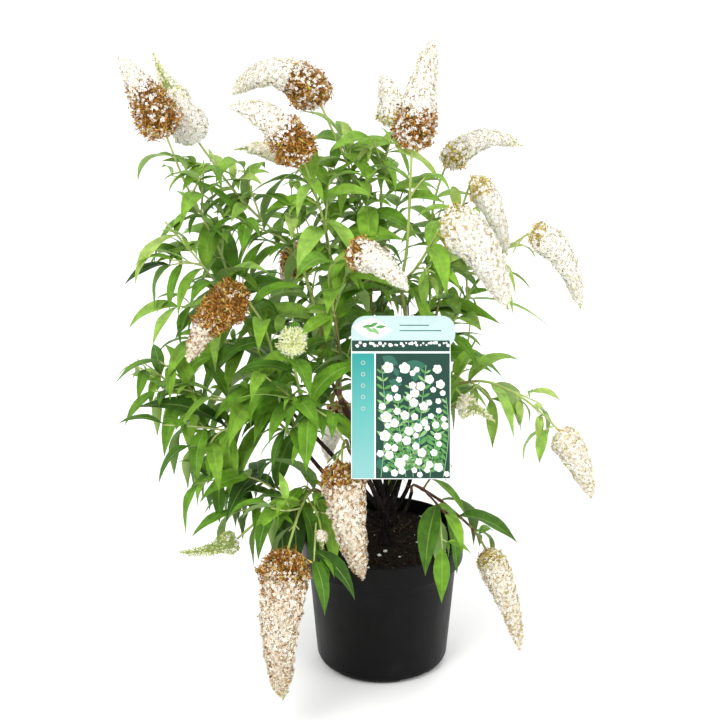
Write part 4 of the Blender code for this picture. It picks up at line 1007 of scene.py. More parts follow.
class Clearing:
    """What leaves keep clear of: the flowers and the view of them, the label, the pot and the
    limits of their own mass."""

    def __init__(self, growths):
        flowers = [pair for growth in growths.values() for pair in growth.flowers]
        self.spans = flower_spans(flowers)
        self.front = flower_spans([pair for pair in flowers if pair[1].foot[1] < FRONT_DEPTH])
        self.flat = np.concatenate(
            [on_picture(self.front[:, :3]), on_picture(self.front[:, 3:6]), self.front[:, 6:]], axis=1
        )
        self.boxes = {name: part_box("foliage_" + name) for name in growths}

    def hides_flower(self, places):
        """Whether a point stands before one of the front's flowers, seen along the line of sight."""
        sight = np.array(SIGHT)
        depths = self.front[:, :3] @ sight
        for place, flat_place in zip(places, on_picture(places)):
            behind = self.flat[depths > place @ sight]
            if len(behind) and distances(flat_place[None], behind)[0] < 0:
                return True
        return False

    def is_open(self, name, places, slack=BOX_SLACK):
        """Whether all places lie within the mass's limits, give or take the slack, and hide nothing."""
        low, high = (np.array(corner) for corner in self.boxes[name])
        if (places < low - slack).any() or (places > high + slack).any():
            return False
        in_pot = np.hypot(places[:, 0], places[:, 1]) < RIM_RADIUS + POT_SIDE_CLEARANCE
        if (in_pot & (places[:, 2] < RIM_TOP + POT_TOP_CLEARANCE)).any():
            return False
        if before_backdrop(places) or any(hides_label(place) for place in places):
            return False
        if self.hides_flower(places):
            return False
        return bool((distances(places, self.spans) > FLOWER_CLEARANCE).all())


# Meshes

class Heap:
    """Many small shapes of triangles, gathered into one mesh. A tone picks a face's material."""

    def __init__(self):
        self.points, self.faces, self.tones, self.charts, self.count = [], [], [], [], 0

    def add(self, points, faces, tones, chart=None):
        self.points.append(points)
        self.faces.append(faces + self.count)
        self.tones.append(np.broadcast_to(tones, len(faces)))
        self.charts.append(np.zeros((len(points), 2)) if chart is None else chart)
        self.count += len(points)

    def piece(self, name, materials, slot, nodes=(), sharp=60):
        points, faces = np.concatenate(self.points), np.concatenate(self.faces).astype(np.int32)
        mesh = bpy.data.meshes.new(name)
        mesh.vertices.add(len(points))
        mesh.vertices.foreach_set("co", points.astype(np.float32).ravel())
        mesh.loops.add(faces.size)
        mesh.loops.foreach_set("vertex_index", faces.ravel())
        mesh.polygons.add(len(faces))
        mesh.polygons.foreach_set("loop_start", np.arange(0, faces.size, 3, dtype=np.int32))
        mesh.polygons.foreach_set("material_index", np.concatenate(self.tones).astype(np.int32))
        mesh.update(calc_edges=True)
        charts = np.concatenate(self.charts).astype(np.float32)
        layer = mesh.uv_layers.new(name="chart")
        layer.data.foreach_set("uv", charts[faces.ravel()].ravel())
        print(name, len(faces), "triangles")
        return finished(name, mesh, materials, nodes, sharp)


def finished(name, mesh, materials, nodes=(), sharp=40):
    """A piece of the object: shaded, dressed, riding on the plant and standing for CAD nodes."""
    for material in materials:
        mesh.materials.append(material)
    mesh.shade_smooth()
    mesh.set_sharp_from_angle(angle=math.radians(sharp))
    thing = bpy.data.objects.new(name, mesh)
    bpy.context.scene.collection.objects.link(thing)
    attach(thing, BODY)
    if nodes:
        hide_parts(*nodes)
    return thing


def plain_object(name, points, faces):
    """An object of a plain mesh, not yet in the scene."""
    mesh = bpy.data.meshes.new(name)
    mesh.from_pydata(points, [], faces)
    return bpy.data.objects.new(name, mesh)


@functools.cache
def tube_faces(rings, sides, pointed):
    """The triangles over rings of points. A pointed body ends in one more point, any other in a cap."""
    faces = []
    for i in range(rings - 1):
        for k in range(sides):
            a, b = i * sides + k, i * sides + (k + 1) % sides
            faces += [(a, b, b + sides), (a, b + sides, a + sides)]
    faces += [(0, k + 1, k) for k in range(1, sides - 1)]
    last = (rings - 1) * sides
    for k in range(sides if pointed else sides - 2):
        if pointed:
            faces.append((last + k, last + (k + 1) % sides, last + sides))
        else:
            faces.append((last, last + k + 1, last + k + 2))
    return np.array(faces)


def transported(line):
    """The direction and a side vector at each point of a line, without twist."""
    ahead = (line[1] - line[0]).normalized()
    side = ahead.orthogonal().normalized()
    rows = []
    for i in range(len(line)):
        before, after = line[max(i - 1, 0)], line[min(i + 1, len(line) - 1)]
        turned_ahead = (after - before).normalized()
        side = ahead.rotation_difference(turned_ahead) @ side
        ahead = turned_ahead
        rows.append((ahead.copy(), side.copy()))
    return rows


def tube_points(line, radii, sides, relief=None):
    """Rings of points round a line. A relief gives each point's own radius."""
    rings = []
    for place, radius, (ahead, side) in zip(line, radii, transported(line)):
        other = ahead.cross(side)
        for k in range(sides):
            way = spoke(side, other, math.tau * k / sides)
            own = radius + relief(place + way * radius) if relief else radius
            rings.append(place + way * own)
    return np.array(rings)


def circle(radius, sides):
    """Points (x, y) round the origin."""
    angles = [math.tau * k / sides for k in range(sides)]
    return [(radius * math.cos(angle), radius * math.sin(angle)) for angle in angles]


def arc(centre_x, centre_z, radius, first, last, steps):
    """Points (x, z) on an arc, between two angles in degrees."""
    angles = [math.radians(first + (last - first) * k / steps) for k in range(steps + 1)]
    return [(centre_x + radius * math.cos(a), centre_z + radius * math.sin(a)) for a in angles]


# Materials

def shader_of(name, colour, roughness, specular=0.2):
    """(material, node tree, shader): a Principled material with its plain colour and finish set."""
    material = bpy.data.materials.new(name)
    material.use_nodes = True
    tree = material.node_tree
    shader = tree.nodes["Principled BSDF"]
    shader.inputs["Base Color"].default_value = (*colour, 1)
    shader.inputs["Roughness"].default_value = roughness
    shader.inputs["Specular IOR Level"].default_value = specular
    material.diffuse_color = (*colour, 1)
    return material, tree, shader


def noise_node(tree, scale, detail=3.0, stretch=(1, 1, 1)):
    """A noise over the object's own coordinates, stretched along its axes."""
    place = tree.nodes.new("ShaderNodeTexCoord")
    mapping = tree.nodes.new("ShaderNodeMapping")
    mapping.inputs["Scale"].default_value = stretch
    texture = tree.nodes.new("ShaderNodeTexNoise")
    texture.inputs["Scale"].default_value = scale
    texture.inputs["Detail"].default_value = detail
    tree.links.new(place.outputs["Object"], mapping.inputs["Vector"])
    tree.links.new(mapping.outputs["Vector"], texture.inputs["Vector"])
    return texture


def ramp_node(tree, value, stops):
    """Colours or greys dealt by a value, as (position, colour) stops."""
    ramp = tree.nodes.new("ShaderNodeValToRGB")
    while len(ramp.color_ramp.elements) < len(stops):
        ramp.color_ramp.elements.new(0.5)
    for element, (position, colour) in zip(ramp.color_ramp.elements, stops):
        element.position = position
        element.color = (*colour, 1)
    tree.links.new(value, ramp.inputs["Fac"])
    return ramp


def greys(*stops):
    """Stops of grey for a ramp, from rows of (position, lightness)."""
    return [(position, (light, light, light)) for position, light in stops]


def math_node(tree, operation, *values):
    """The output of a Math node over sockets or numbers."""
    node = tree.nodes.new("ShaderNodeMath")
    node.operation = operation
    for socket, value in zip(node.inputs, values):
        if isinstance(value, (int, float)):
            socket.default_value = value
        else:
            tree.links.new(value, socket)
    return node.outputs[0]


def mixed(tree, factor, colour, other):
    """A colour that turns to another, plain one by a factor."""
    mix = tree.nodes.new("ShaderNodeMix")
    mix.data_type = "RGBA"
    tree.links.new(factor, mix.inputs["Factor"])
    tree.links.new(colour, mix.inputs["A"])
    mix.inputs["B"].default_value = (*other, 1)
    return mix.outputs["Result"]


def bump(tree, shader, height, strength, distance):
    """Relief on a shader by a height, without a change of shape."""
    node = tree.nodes.new("ShaderNodeBump")
    node.inputs["Strength"].default_value = strength
    node.inputs["Distance"].default_value = distance
    tree.links.new(height, node.inputs["Height"])
    tree.links.new(node.outputs["Normal"], shader.inputs["Normal"])


def mottled(tree, texture, colour, darker, lighter):
    """A colour that wanders with a texture between a darker and a lighter share of itself."""
    dark = tuple(c * darker for c in colour)
    light = tuple(min(1, c * lighter) for c in colour)
    return ramp_node(tree, texture.outputs["Fac"], ((0.3, dark), (0.7, light))).outputs["Color"]


def height_of_place(tree):
    """The height of each point, in the object's own coordinates."""
    place = tree.nodes.new("ShaderNodeTexCoord")
    parts = tree.nodes.new("ShaderNodeSeparateXYZ")
    tree.links.new(place.outputs["Object"], parts.inputs["Vector"])
    return parts.outputs["Z"]


def speckled(name, colour, spread, scale, roughness, relief=0.0, stretch=(1, 1, 1)):
    """A material whose colour wanders a little round its own, with a fine relief."""
    material, tree, shader = shader_of(name, colour, roughness)
    texture = noise_node(tree, scale, stretch=stretch)
    tree.links.new(mottled(tree, texture, colour, 1 - spread, 1 + spread), shader.inputs["Base Color"])
    if relief:
        bump(tree, shader, texture.outputs["Fac"], strength=0.6, distance=relief)
    return material


# A leaf's slanting side veins, darkened with painted shade in their grooves, its midrib, and how far its
# green wanders
VEIN_SLANT = 0.60
VEIN_WAVES = 15.0
VEIN_POWER = 0.45
VEIN_SHADE = 0.75
VEIN_DARKER = 0.50
VEIN_DEPTH = 0.0016
RIB_FALL = 11.0
RIB_SHARE = 0.60
LEAF_DARKER = 0.70
LEAF_LIGHTER = 1.32


def leaf_material(name, colour, roughness, vein_light):
    """A leaf's surface: its own green, a paler midrib and fine slanting side veins, darkened with painted
    shade.
    """
    material, tree, shader = shader_of(name, colour, roughness)
    chart = tree.nodes.new("ShaderNodeUVMap")
    chart.uv_map = "chart"
    parts = tree.nodes.new("ShaderNodeSeparateXYZ")
    tree.links.new(chart.outputs["UV"], parts.inputs["Vector"])
    off_rib = math_node(tree, "ABSOLUTE", parts.outputs["X"])
    slant = math_node(tree, "MULTIPLY", off_rib, VEIN_SLANT)
    along = math_node(tree, "SUBTRACT", parts.outputs["Y"], slant)
    wave = math_node(tree, "SINE", math_node(tree, "MULTIPLY", along, VEIN_WAVES))
    vein = math_node(tree, "POWER", math_node(tree, "ABSOLUTE", wave), VEIN_POWER)
    rib = math_node(tree, "SUBTRACT", 1.0, math_node(tree, "MULTIPLY", off_rib, RIB_FALL))
    rib = math_node(tree, "MAXIMUM", rib, 0.0)
    green = mottled(tree, noise_node(tree, scale=70), colour, LEAF_DARKER, LEAF_LIGHTER)
    # Painted shade: the side veins' grooves are darkened in colour as well as sunk by the bump
    in_vein = math_node(tree, "MULTIPLY", math_node(tree, "SUBTRACT", 1.0, vein), VEIN_SHADE)
    shade = mixed(tree, in_vein, green, tuple(c * VEIN_DARKER for c in colour))
    ribbed = mixed(tree, math_node(tree, "MULTIPLY", rib, RIB_SHARE), shade, vein_light)
    tree.links.new(ribbed, shader.inputs["Base Color"])
    bump(tree, shader, vein, strength=0.8, distance=VEIN_DEPTH)
    return material


# The tones of leaves, stems and florets, and the bounds of brightness between them
# The leaves' upper and under tones are dealt by a brightness that holds painted light and shade
LEAF_TONES = (
    ("leaf_deep", (0.040, 0.108, 0.011)),
    ("leaf_shade", (0.076, 0.198, 0.015)),
    ("leaf_green", (0.140, 0.325, 0.020)),
    ("leaf_bright", (0.225, 0.445, 0.036)),
    ("leaf_light", (0.325, 0.560, 0.085)),
    ("leaf_yellow", (0.425, 0.610, 0.125)),
)

UNDERSIDE_TONES = (
    ("underside_grey", (0.200, 0.330, 0.095)),
    ("underside_pale", (0.330, 0.490, 0.150)),
)

VEIN_LIGHT = (0.400, 0.560, 0.140)
TONE_BOUNDS = (0.20, 0.38, 0.58, 0.80, 1.02)

STEM_TONES = (
    ("stem_dark", (0.060, 0.034, 0.022)),
    ("stem_red", (0.150, 0.060, 0.035)),
    ("stem_olive", (0.240, 0.230, 0.070)),
    ("stem_green", (0.330, 0.430, 0.110)),
    ("stem_pale", (0.450, 0.520, 0.190)),
)

STEM_BOUNDS = (0.10, 0.27, 0.45, 0.75)

BLOSSOM_TONES = (
    ("petal_white", (0.920, 0.912, 0.870)),
    ("petal_cream", (0.870, 0.820, 0.675)),
    ("petal_blush", (0.760, 0.645, 0.500)),
    ("floret_eye", (0.620, 0.360, 0.090)),
    ("floret_tube", (0.740, 0.680, 0.520)),
    ("withered_tan", (0.640, 0.420, 0.150)),
    ("withered_orange", (0.520, 0.230, 0.032)),
    ("withered_brown", (0.235, 0.095, 0.020)),
    ("withered_dark", (0.065, 0.030, 0.012)),
    ("golden", (0.760, 0.610, 0.130)),
    ("olive", (0.450, 0.440, 0.075)),
    ("bud_green", (0.350, 0.440, 0.110)),
    ("bud_pale", (0.690, 0.720, 0.330)),
    ("core_pale", (0.820, 0.770, 0.650)),
    ("core_brown", (0.240, 0.130, 0.034)),
    ("core_golden", (0.660, 0.570, 0.300)),
    ("core_green", (0.300, 0.370, 0.120)),
)

BLOSSOM = {name: index for index, (name, _) in enumerate(BLOSSOM_TONES)}


# Foliage: where a leaf's points lie across it, in half widths
LEAF_ACROSS = np.array([-1.0, -0.5, 0.0, 0.5, 1.0, 0.0])
LEAF_UPPER_SIDES = 4


def fine_faces():
    """The triangles of a leaf and, for each, whether it is on the upper side."""
    sides = len(LEAF_ACROSS)
    is_upper = [k < LEAF_UPPER_SIDES for k in range(sides)]
    along = [upper for upper in is_upper for _ in range(2)] * (FINE_ROWS - 1)
    return tube_faces(FINE_ROWS, sides, True), np.array(along + [True] * (sides - 2) + is_upper)


LEAF_FACES, LEAF_IS_UPPER = fine_faces()


def leaf_points(leaf, rng):
    """The points of a leaf: rings of six across it, from its stalk on, and its tip. Also its chart,
    with the midrib at 0, the margins at 1 and -1, and centimetres along it."""
    share = np.arange(FINE_ROWS + 1) / FINE_ROWS
    pitch = np.maximum(leaf.pitch - leaf.bend * share, -LEAF_STEEPEST)[:, None]
    heading, up = np.array(leaf.heading), np.array(UP)
    ahead = heading * np.cos(pitch) + up * np.sin(pitch)
    centre = np.vstack([np.zeros(3), np.cumsum(ahead[:-1], 0)]) * (leaf.length / FINE_ROWS)
    centre = np.array(leaf.root) + centre
    level_side = np.cross(heading, up)
    normal = np.cross(level_side, ahead)
    roll = (leaf.roll + rng.uniform(-FINE_TWIST, FINE_TWIST) * share)[:, None]
    side = level_side * np.cos(roll) + normal * np.sin(roll)
    out = np.cross(side, ahead)
    blade = np.sin(np.pi * np.clip(share, 0, 1) ** BLADE_WIDEST_POWER) ** BLADE_TIP_POWER
    half = leaf.width / 2 * blade + STALK_HALF_WIDTH * (1 - share)
    fold = math.tan(rng.uniform(*FOLD_ANGLES)) * (1 - FOLD_EASE * share)
    ripple = rng.uniform(*RIPPLE_DEPTHS)
    ripple = ripple * np.sin(share * rng.uniform(*RIPPLE_WAVES) + rng.uniform(*RIPPLE_STARTS))
    across = LEAF_ACROSS[None, :, None]
    bulge = BLADE_BULGE * (1 - (2 * np.abs(across) - 1) ** 2)
    lift = (fold[:, None, None] + ripple[:, None, None] * np.sign(across)) * np.abs(across) + bulge
    offset = lift * half[:, None, None]
    offset[:, -1, 0] = -FINE_THICKNESS
    ring = centre[:, None] + side[:, None] * across * half[:, None, None] + out[:, None] * offset
    points = np.vstack([ring[:FINE_ROWS].reshape(-1, 3), centre[FINE_ROWS]])
    centimetres = share * leaf.length * 100
    chart = np.stack(np.broadcast_arrays(LEAF_ACROSS[None], centimetres[:FINE_ROWS, None]), axis=2)
    return points, np.vstack([chart.reshape(-1, 2), (0, centimetres[-1])])


def finer(leaf, rng):
    """A leaf in its real proportions, a little longer or shorter than the next."""
    length = leaf.length * rng.uniform(*FINE_LENGTHS)
    width = length * FINE_WIDTH * rng.uniform(*FINE_WIDTHS)
    return leaf._replace(length=length, width=width, bend=leaf.bend * FINE_BEND)


def tuft(rng, axil):
    """A short shoot in a leaf's axil, with one or two pairs of small leaves."""
    away = (axil.out * TUFT_OUT + axil.along * TUFT_ALONG).normalized()
    start = axil.place + axil.along * TUFT_START
    line = [start, start + away * rng.uniform(*TUFT_STALK)]
    side = away.orthogonal().normalized()
    other = away.cross(side)
    turn = rng.uniform(0, math.pi)
    leaves = []
    for pair in range(rng.randint(*TUFT_PAIRS)):
        for way in (0, math.pi):
            out = spoke(side, other, turn + way + pair * math.pi / 2)
            size = rng.uniform(*TUFT_LEAF) * (1 - TUFT_SHRINK * pair)
            leaf = leaf_at(rng, line[-1], out, away, size, rng.uniform(*TUFT_LIFTS))
            leaves.append(leaf._replace(width=size * FINE_WIDTH))
    return Shoot(line, *TUFT_RADII, leaves, [])


def further_shoot(rng, stem, share, tip, leaf_length):
    """A side twig from a share of a stem's length to a given place, with its leaves."""
    start, _ = place_along(stem.line, share * lengths_along(stem.line)[-1])
    tip = Vector(tip)
    middle = start.lerp(tip, 0.5) + UP * ((tip - start).length * MORE_ARCH)
    return leafy_twig(rng, bent_line(start, middle, tip, MORE_STEPS), leaf_length, leaf_length)


class Foliage:
    """The leaves and twigs of one zone of the crown."""

    def __init__(self, clearing):
        self.clearing = clearing
        self.leaves, self.twigs = Heap(), Heap()

    def add_leaf(self, name, leaf, rng, brightness, slack=BOX_SLACK):
        """A leaf in the tone of its brightness, which holds painted light and shade, or none where it would
        hide what stays in view.
        """
        if not self.clearing.is_open(name, checked_places(leaf), slack):
            return
        value = brightness + rng.gauss(0, TONE_SPREAD)
        upper = sum(value > bound for bound in TONE_BOUNDS)
        under = len(LEAF_TONES) + (value > UNDERSIDE_BOUND)
        points, chart = leaf_points(leaf, rng)
        self.leaves.add(points, LEAF_FACES, np.where(LEAF_IS_UPPER, upper, under), chart)

    def add_twig(self, shoot, rng, greenness, sides):
        """A twig's tube, with a joint at each pair of leaves, and its colours dealt along it."""
        line = smooth_line(shoot.line, FINE_STEP)
        totals = lengths_along(line)
        joints = [min(range(len(line)), key=lambda i: (line[i] - axil.place).length) for axil in shoot.axils]
        radii = []
        for i, total in enumerate(totals):
            radius = shoot.foot_radius + (shoot.tip_radius - shoot.foot_radius) * total / totals[-1]
            radii.append(radius * STEM_THICKENING * (JOINT_SWELL if i in joints else 1.0))
        faces = tube_faces(len(line), sides, False)
        tones = np.zeros(len(faces), int)
        row = sides * 2
        for i in range(len(line) - 1):
            outward = GREEN_OUTWARD * max(0.0, line[i].xy.length - GREEN_RADIUS)
            upward = GREEN_BY_HEIGHT * (line[i].z - GREEN_HEIGHT)
            value = greenness + upward + outward + rng.gauss(0, STEM_TONE_SPREAD)
            tones[i * row : (i + 1) * row] = sum(value > bound for bound in STEM_BOUNDS)
        caps = (len(line) - 1) * row
        tones[caps:] = tones[caps - 1]
        self.twigs.add(tube_points(line, radii, sides), faces, tones)

    def add_tuft(self, name, axil, rng, spray):
        """A tuft in an axil, where it would hide nothing that stays in view."""
        small = tuft(rng, axil)
        if not self.clearing.is_open(name, np.array(small.line)):
            return
        self.add_twig(small, rng, TUFT_GREENNESS, TUFT_SIDES)
        for leaf in small.leaves:
            self.add_leaf(name, leaf, rng, brightness_at(leaf.root) + spray + TUFT_LIGHTER)

    def add_mass(self, name, growth):
        """The stems, side shoots, tufts and leaves of one mass."""
        rng = random.Random(name + " finer")
        fullness = OPEN_MASSES.get(name, 1.0)
        further = [further_shoot(rng, growth.stems[stem], share, tip, length)
                   for stem, share, tip, length in MORE_TWIGS.get(name, ())]
        for shoot in growth.stems + growth.side_shoots + further:
            is_stem = shoot in growth.stems
            if not is_stem and before_backdrop(np.array(shoot.line[-2:])):
                continue
            slack = MORE_SLACK if shoot in further else BOX_SLACK
            spray = rng.gauss(0, SPRAY_SPREAD)
            look = (STEM_GREENNESS, STEM_SIDES) if is_stem else (SHOOT_GREENNESS, SHOOT_SIDES)
            self.add_twig(shoot, rng, *look)
            for first in range(0, len(shoot.leaves), 2):
                if rng.random() > fullness:
                    continue
                for leaf in shoot.leaves[first : first + 2]:
                    self.add_leaf(name, finer(leaf, rng), rng, brightness_at(leaf.root) + spray, slack)
            for axil in shoot.axils:
                if rng.random() <= TUFT_SHARE * fullness**2:
                    self.add_tuft(name, axil, rng, spray)


def brightness_at(place):
    """How light the leaves are at a place: lighter high up, partly as younger leaves and partly as painted
    light, darker low down as painted shade, and lighter out on the right as painted light.
    """
    # Painted light on the right of the crown; the height term holds painted light and shade as well as
    # younger leaves
    painted_light_right = max(0.0, place.x - PAINTED_LIGHT_FROM) * min(1.0, place.z / PAINTED_LIGHT_HEIGHT)
    return BRIGHT_AT_FOOT + BRIGHT_BY_HEIGHT * place.z + PAINTED_LIGHT_TO_THE_RIGHT * painted_light_right


# Blossom: the kinds of florets, as shares of each zone of a spike
RUSTY = {"orange": 0.32, "tan": 0.30, "brown": 0.19, "dark": 0.08, "olive": 0.07, "gold": 0.04}
GOLDEN = {"gold": 0.50, "olive": 0.36, "tan": 0.11, "orange": 0.03}
GOLDEN_AND_RUSTY = {"gold": 0.26, "olive": 0.14, "tan": 0.18, "orange": 0.17, "brown": 0.15, "dark": 0.10}
FRESH_BUDLIKE = {"pale": 0.50, "cream": 0.30, "white": 0.20}

FRESH = {"white": 0.71, "cream": 0.17, "blush": 0.04, "orange": 0.01, "tan": 0.02, "pale": 0.04,
         "olive": 0.01}

FRESH_WHITE = {"white": 0.77, "cream": 0.14, "gold": 0.02, "pale": 0.06, "tan": 0.01}
FRESH_CREAM = {"white": 0.32, "cream": 0.36, "pale": 0.15, "blush": 0.07, "tan": 0.06, "olive": 0.04}
# On the low and back flowers, blush, tan, orange and brown florets stand partly for ageing and partly for
# painted shade from the crown
FRESH_AGED_AND_SHADED = {"white": 0.13, "cream": 0.27, "blush": 0.30, "tan": 0.13, "orange": 0.08, "brown": 0.09}
FRESH_FADED = {"white": 0.24, "cream": 0.36, "gold": 0.10, "blush": 0.14, "tan": 0.09, "olive": 0.07}
BUDS = {"green": 0.52, "pale": 0.38, "cream": 0.10}
PALE_BUDS = {"green": 0.24, "pale": 0.54, "cream": 0.22}
SPIDERS = {"spider": 0.86, "pale": 0.14}


# The masses whose flowers have other florets than most, and the share still fresh among the dead
FRESH_SETS = {
    **dict.fromkeys(("upper_middle", "top_right_back", "right_shoulder", "right_high", "right_arch",
                     "right_far", "back_right"), FRESH_WHITE),
    **dict.fromkeys(("right_spray", "back_middle"), FRESH_CREAM),
    **dict.fromkeys(("front_left_foot", "front_foot", "left_middle", "back_left"), FRESH_AGED_AND_SHADED),
    "right_foot": FRESH_FADED,
    "right_inner": FRESH_BUDLIKE,
}

PALE_BUD_MASSES = ("upper_middle", "right_inner")

GOLDEN_MASSES = ("top_right_back", "right_shoulder", "right_high", "right_arch", "right_far", "right_foot",
                 "back_middle", "back_right")

SPIDERY = ("front_left",)
SMALL_FLOWER = 0.040

STILL_FRESH = {"left_middle": 0.13, "top_centre": 0.17, "upper_left": 0.30, "top_back": 0.36,
               "top_right": 0.36}

STILL_FRESH_OTHERS = 0.28
STILL_FRESH_GOLDEN = 0.55


# Blossom: the shapes of the florets

class Shape(NamedTuple):
    """A small shape to scatter: its points, triangles and the tone of each triangle."""

    points: np.ndarray
    faces: np.ndarray
    tones: np.ndarray


# The angles of the points round a floret, in radians
THIRDS = (0.5, 2.6, 4.7)
QUARTERS = (0.0, 1.57, 3.14, 4.71)


def ring(radius, height, angles=THIRDS):
    """Points at given angles on a level circle round the origin, in spans of a floret."""
    return [Vector((radius * math.cos(a), radius * math.sin(a), height)) for a in angles]


def sleeve(first):
    """The triangles of a three-sided tube, from the ring that starts at a number to the next ring."""
    faces = []
    for k in range(3):
        a, b = first + k, first + (k + 1) % 3
        faces += [[a, b, b + 3], [a, b + 3, a + 3]]
    return faces


def floret_shape(petal_tone):
    """An open floret: four rounded lobes round an orange eye, on a slender tube."""
    points, faces, tones = [], [], []
    lobe = ((0.12, 0, 0.05), (0.50, 0.37, 0.11), (0.50, -0.37, 0.11), (0.92, 0.25, -0.02),
            (0.92, -0.25, -0.02))
    for k in range(4):
        turn = Matrix.Rotation(math.tau * k / 4, 3, "Z")
        first = len(points)
        points += [turn @ Vector(p) for p in lobe]
        for face in ((0, 2, 1), (1, 2, 4), (1, 4, 3)):
            faces.append([first + i for i in face])
            tones.append(petal_tone)
    first = len(points)
    points += ring(0.16, 0.12, QUARTERS)
    faces += [[first, first + 1, first + 2], [first, first + 2, first + 3]]
    tones += [BLOSSOM["floret_eye"]] * 2
    first = len(points)
    points += ring(0.19, 0.06) + [Vector((0, 0, -2.0))]
    faces += [[first + 3, first + (k + 1) % 3, first + k] for k in range(3)]
    tones += [BLOSSOM["floret_tube"]] * 3
    return Shape(np.array(points), np.array(faces), np.array(tones))


def withered_shape(tone, other_tone):
    """A dead floret: a shrunken tube with curled, ragged lobes, on a thin dry stalk."""
    points = ring(0.05, -3.6) + ring(0.08, -1.4) + ring(0.27, -0.1)
    faces = sleeve(0) + sleeve(3)
    tones = [other_tone] * 6 + [tone] * 6
    for k, (reach, rise, swing) in enumerate(((0.62, 0.50, 0.5), (0.30, 0.80, -0.4), (0.70, 0.25, 0.2))):
        angle = THIRDS[k] + 1.05 + swing
        points += ring(reach, rise, (angle,)) + ring(0.12, 0.55 * rise, (angle + 1,))
        a, b = 6 + k, 6 + (k + 1) % 3
        faces += [[a, b, 9 + 2 * k], [a, 9 + 2 * k, 10 + 2 * k]]
        tones += [tone, other_tone]
    return Shape(np.array(points), np.array(faces), np.array(tones))


def bud_shape(tone):
    """A closed bud: a small club on a thin neck."""
    points = ring(0.10, -1.1, QUARTERS) + ring(0.30, 0.20, QUARTERS) + [Vector((0, 0, 0.66))]
    faces = tube_faces(2, 4, True)
    return Shape(np.array(points), faces, np.full(len(faces), tone))


def spider_shape(tone, lobe_tone):
    """A floret that has just opened: a long thin tube with four small, narrow lobes."""
    points = ring(0.09, -3.4) + ring(0.15, 0)
    faces = sleeve(0)
    tones = [tone] * 6
    for angle in QUARTERS:
        first = len(points)
        points += ring(0.13, 0, (angle - 0.9, angle + 0.9)) + ring(0.74, 0.20, (angle,))
        faces.append([first, first + 1, first + 2])
        tones.append(lobe_tone)
    return Shape(np.array(points), np.array(faces), np.array(tones))


DRY_TONES = {
    "tan": ("withered_tan", "withered_orange"),
    "orange": ("withered_orange", "withered_brown"),
    "brown": ("withered_brown", "withered_orange"),
    "dark": ("withered_dark", "withered_brown"),
    "gold": ("golden", "olive"),
    "olive": ("olive", "withered_tan"),
}

SHAPES = {
    **{kind: floret_shape(BLOSSOM["petal_" + kind]) for kind in ("white", "cream", "blush")},
    **{kind: withered_shape(BLOSSOM[tone], BLOSSOM[other]) for kind, (tone, other) in DRY_TONES.items()},
    **{kind: bud_shape(BLOSSOM["bud_" + kind]) for kind in ("green", "pale")},
    "spider": spider_shape(BLOSSOM["bud_pale"], BLOSSOM["petal_white"]),
}

DRY_KINDS = tuple(DRY_TONES)


# Blossom: the spikes

def zone_at(name, flower, share):
    """Which part of a flower spike a share of its length lies in."""
    if name in SPIDERY:
        return "spidery"
    if share < flower.brown:
        return "withered"
    return "bud" if share > 1 - flower.green else "fresh"


def dealt(chances, count, rng):
    """Names dealt out by their chances."""
    names = list(chances)
    weights = np.array([chances[name] for name in names])
    return np.array(names)[rng.choice(len(names), count, p=weights / weights.sum())]


def noise_over(surface, scale):
    """Noise at each place of a surface, finer the greater its scale."""
    return np.array([noise.noise(Vector(place) * scale) for place in surface])


def kinds_of(name, flower, share, surface, rng):
    """The kind of each floret of a spike, at its share of the spike's length. Noise over the
    surface makes the borders of the zones ragged, and gathers what is still fresh among the dead."""
    count = len(share)
    if name in SPIDERY:
        return dealt(SPIDERS, count, rng)
    golden = name in GOLDEN_MASSES
    fresh = FRESH_CREAM if flower.width < SMALL_FLOWER else FRESH_SETS.get(name, FRESH)
    kinds = dealt(fresh, count, rng)
    patches = ZONE_PATCHES * noise_over(surface, PATCH_SCALE) * (share > ZONE_PATCHES_FROM)
    ragged = share + rng.normal(0, ZONE_BLUR, count) + patches
    tail = ZONE_TAIL_WARM if fresh is FRESH_AGED_AND_SHADED else ZONE_TAIL
    withered = ragged - rng.exponential(tail, count) < flower.brown - ZONE_TAIL
    if flower.brown and withered.any():
        clusters = noise_over(surface, CLUSTER_SCALE) + rng.normal(0, CLUSTER_BLUR, count)
        still_fresh = STILL_FRESH_GOLDEN if golden else STILL_FRESH.get(name, STILL_FRESH_OTHERS)
        withered &= clusters < np.quantile(clusters[withered], 1 - still_fresh)
        dead = GOLDEN_AND_RUSTY if name == "right_shoulder" else GOLDEN if golden else RUSTY
        kinds[withered] = dealt(dead, count, rng)[withered]
    if flower.green:
        in_bud = ragged > 1 - flower.green
        buds = PALE_BUDS if name in PALE_BUD_MASSES else BUDS
        kinds[in_bud] = dealt(buds, count, rng)[in_bud]
    return kinds


def scatter(heap, shape, places, turns, sizes, crumple, rng):
    """Copies of a shape, each with its own place, turn and size, and its points shaken a little."""
    count = len(places)
    if not count:
        return
    points = shape.points[None] + rng.normal(0, crumple, (count, len(shape.points), 3))
    points = places[:, None] + np.einsum("nij,nkj->nki", turns, points * sizes[:, None, None])
    firsts = np.arange(count)[:, None, None] * len(shape.points)
    heap.add(points.reshape(-1, 3), (shape.faces[None] + firsts).reshape(-1, 3), np.tile(shape.tones, count))


def turns_to(out, spin):
    """Rotations that take +Z to each way out, turned about it by a spin."""
    helper = np.where(np.abs(out[:, 2:]) < UPRIGHT, [[0, 0, 1]], [[1, 0, 0]])
    x = np.cross(helper, out)
    x /= np.linalg.norm(x, axis=1, keepdims=True)
    y = np.cross(out, x)
    c, s = np.cos(spin)[:, None], np.sin(spin)[:, None]
    return np.stack([x * c + y * s, y * c - x * s, out], axis=2)


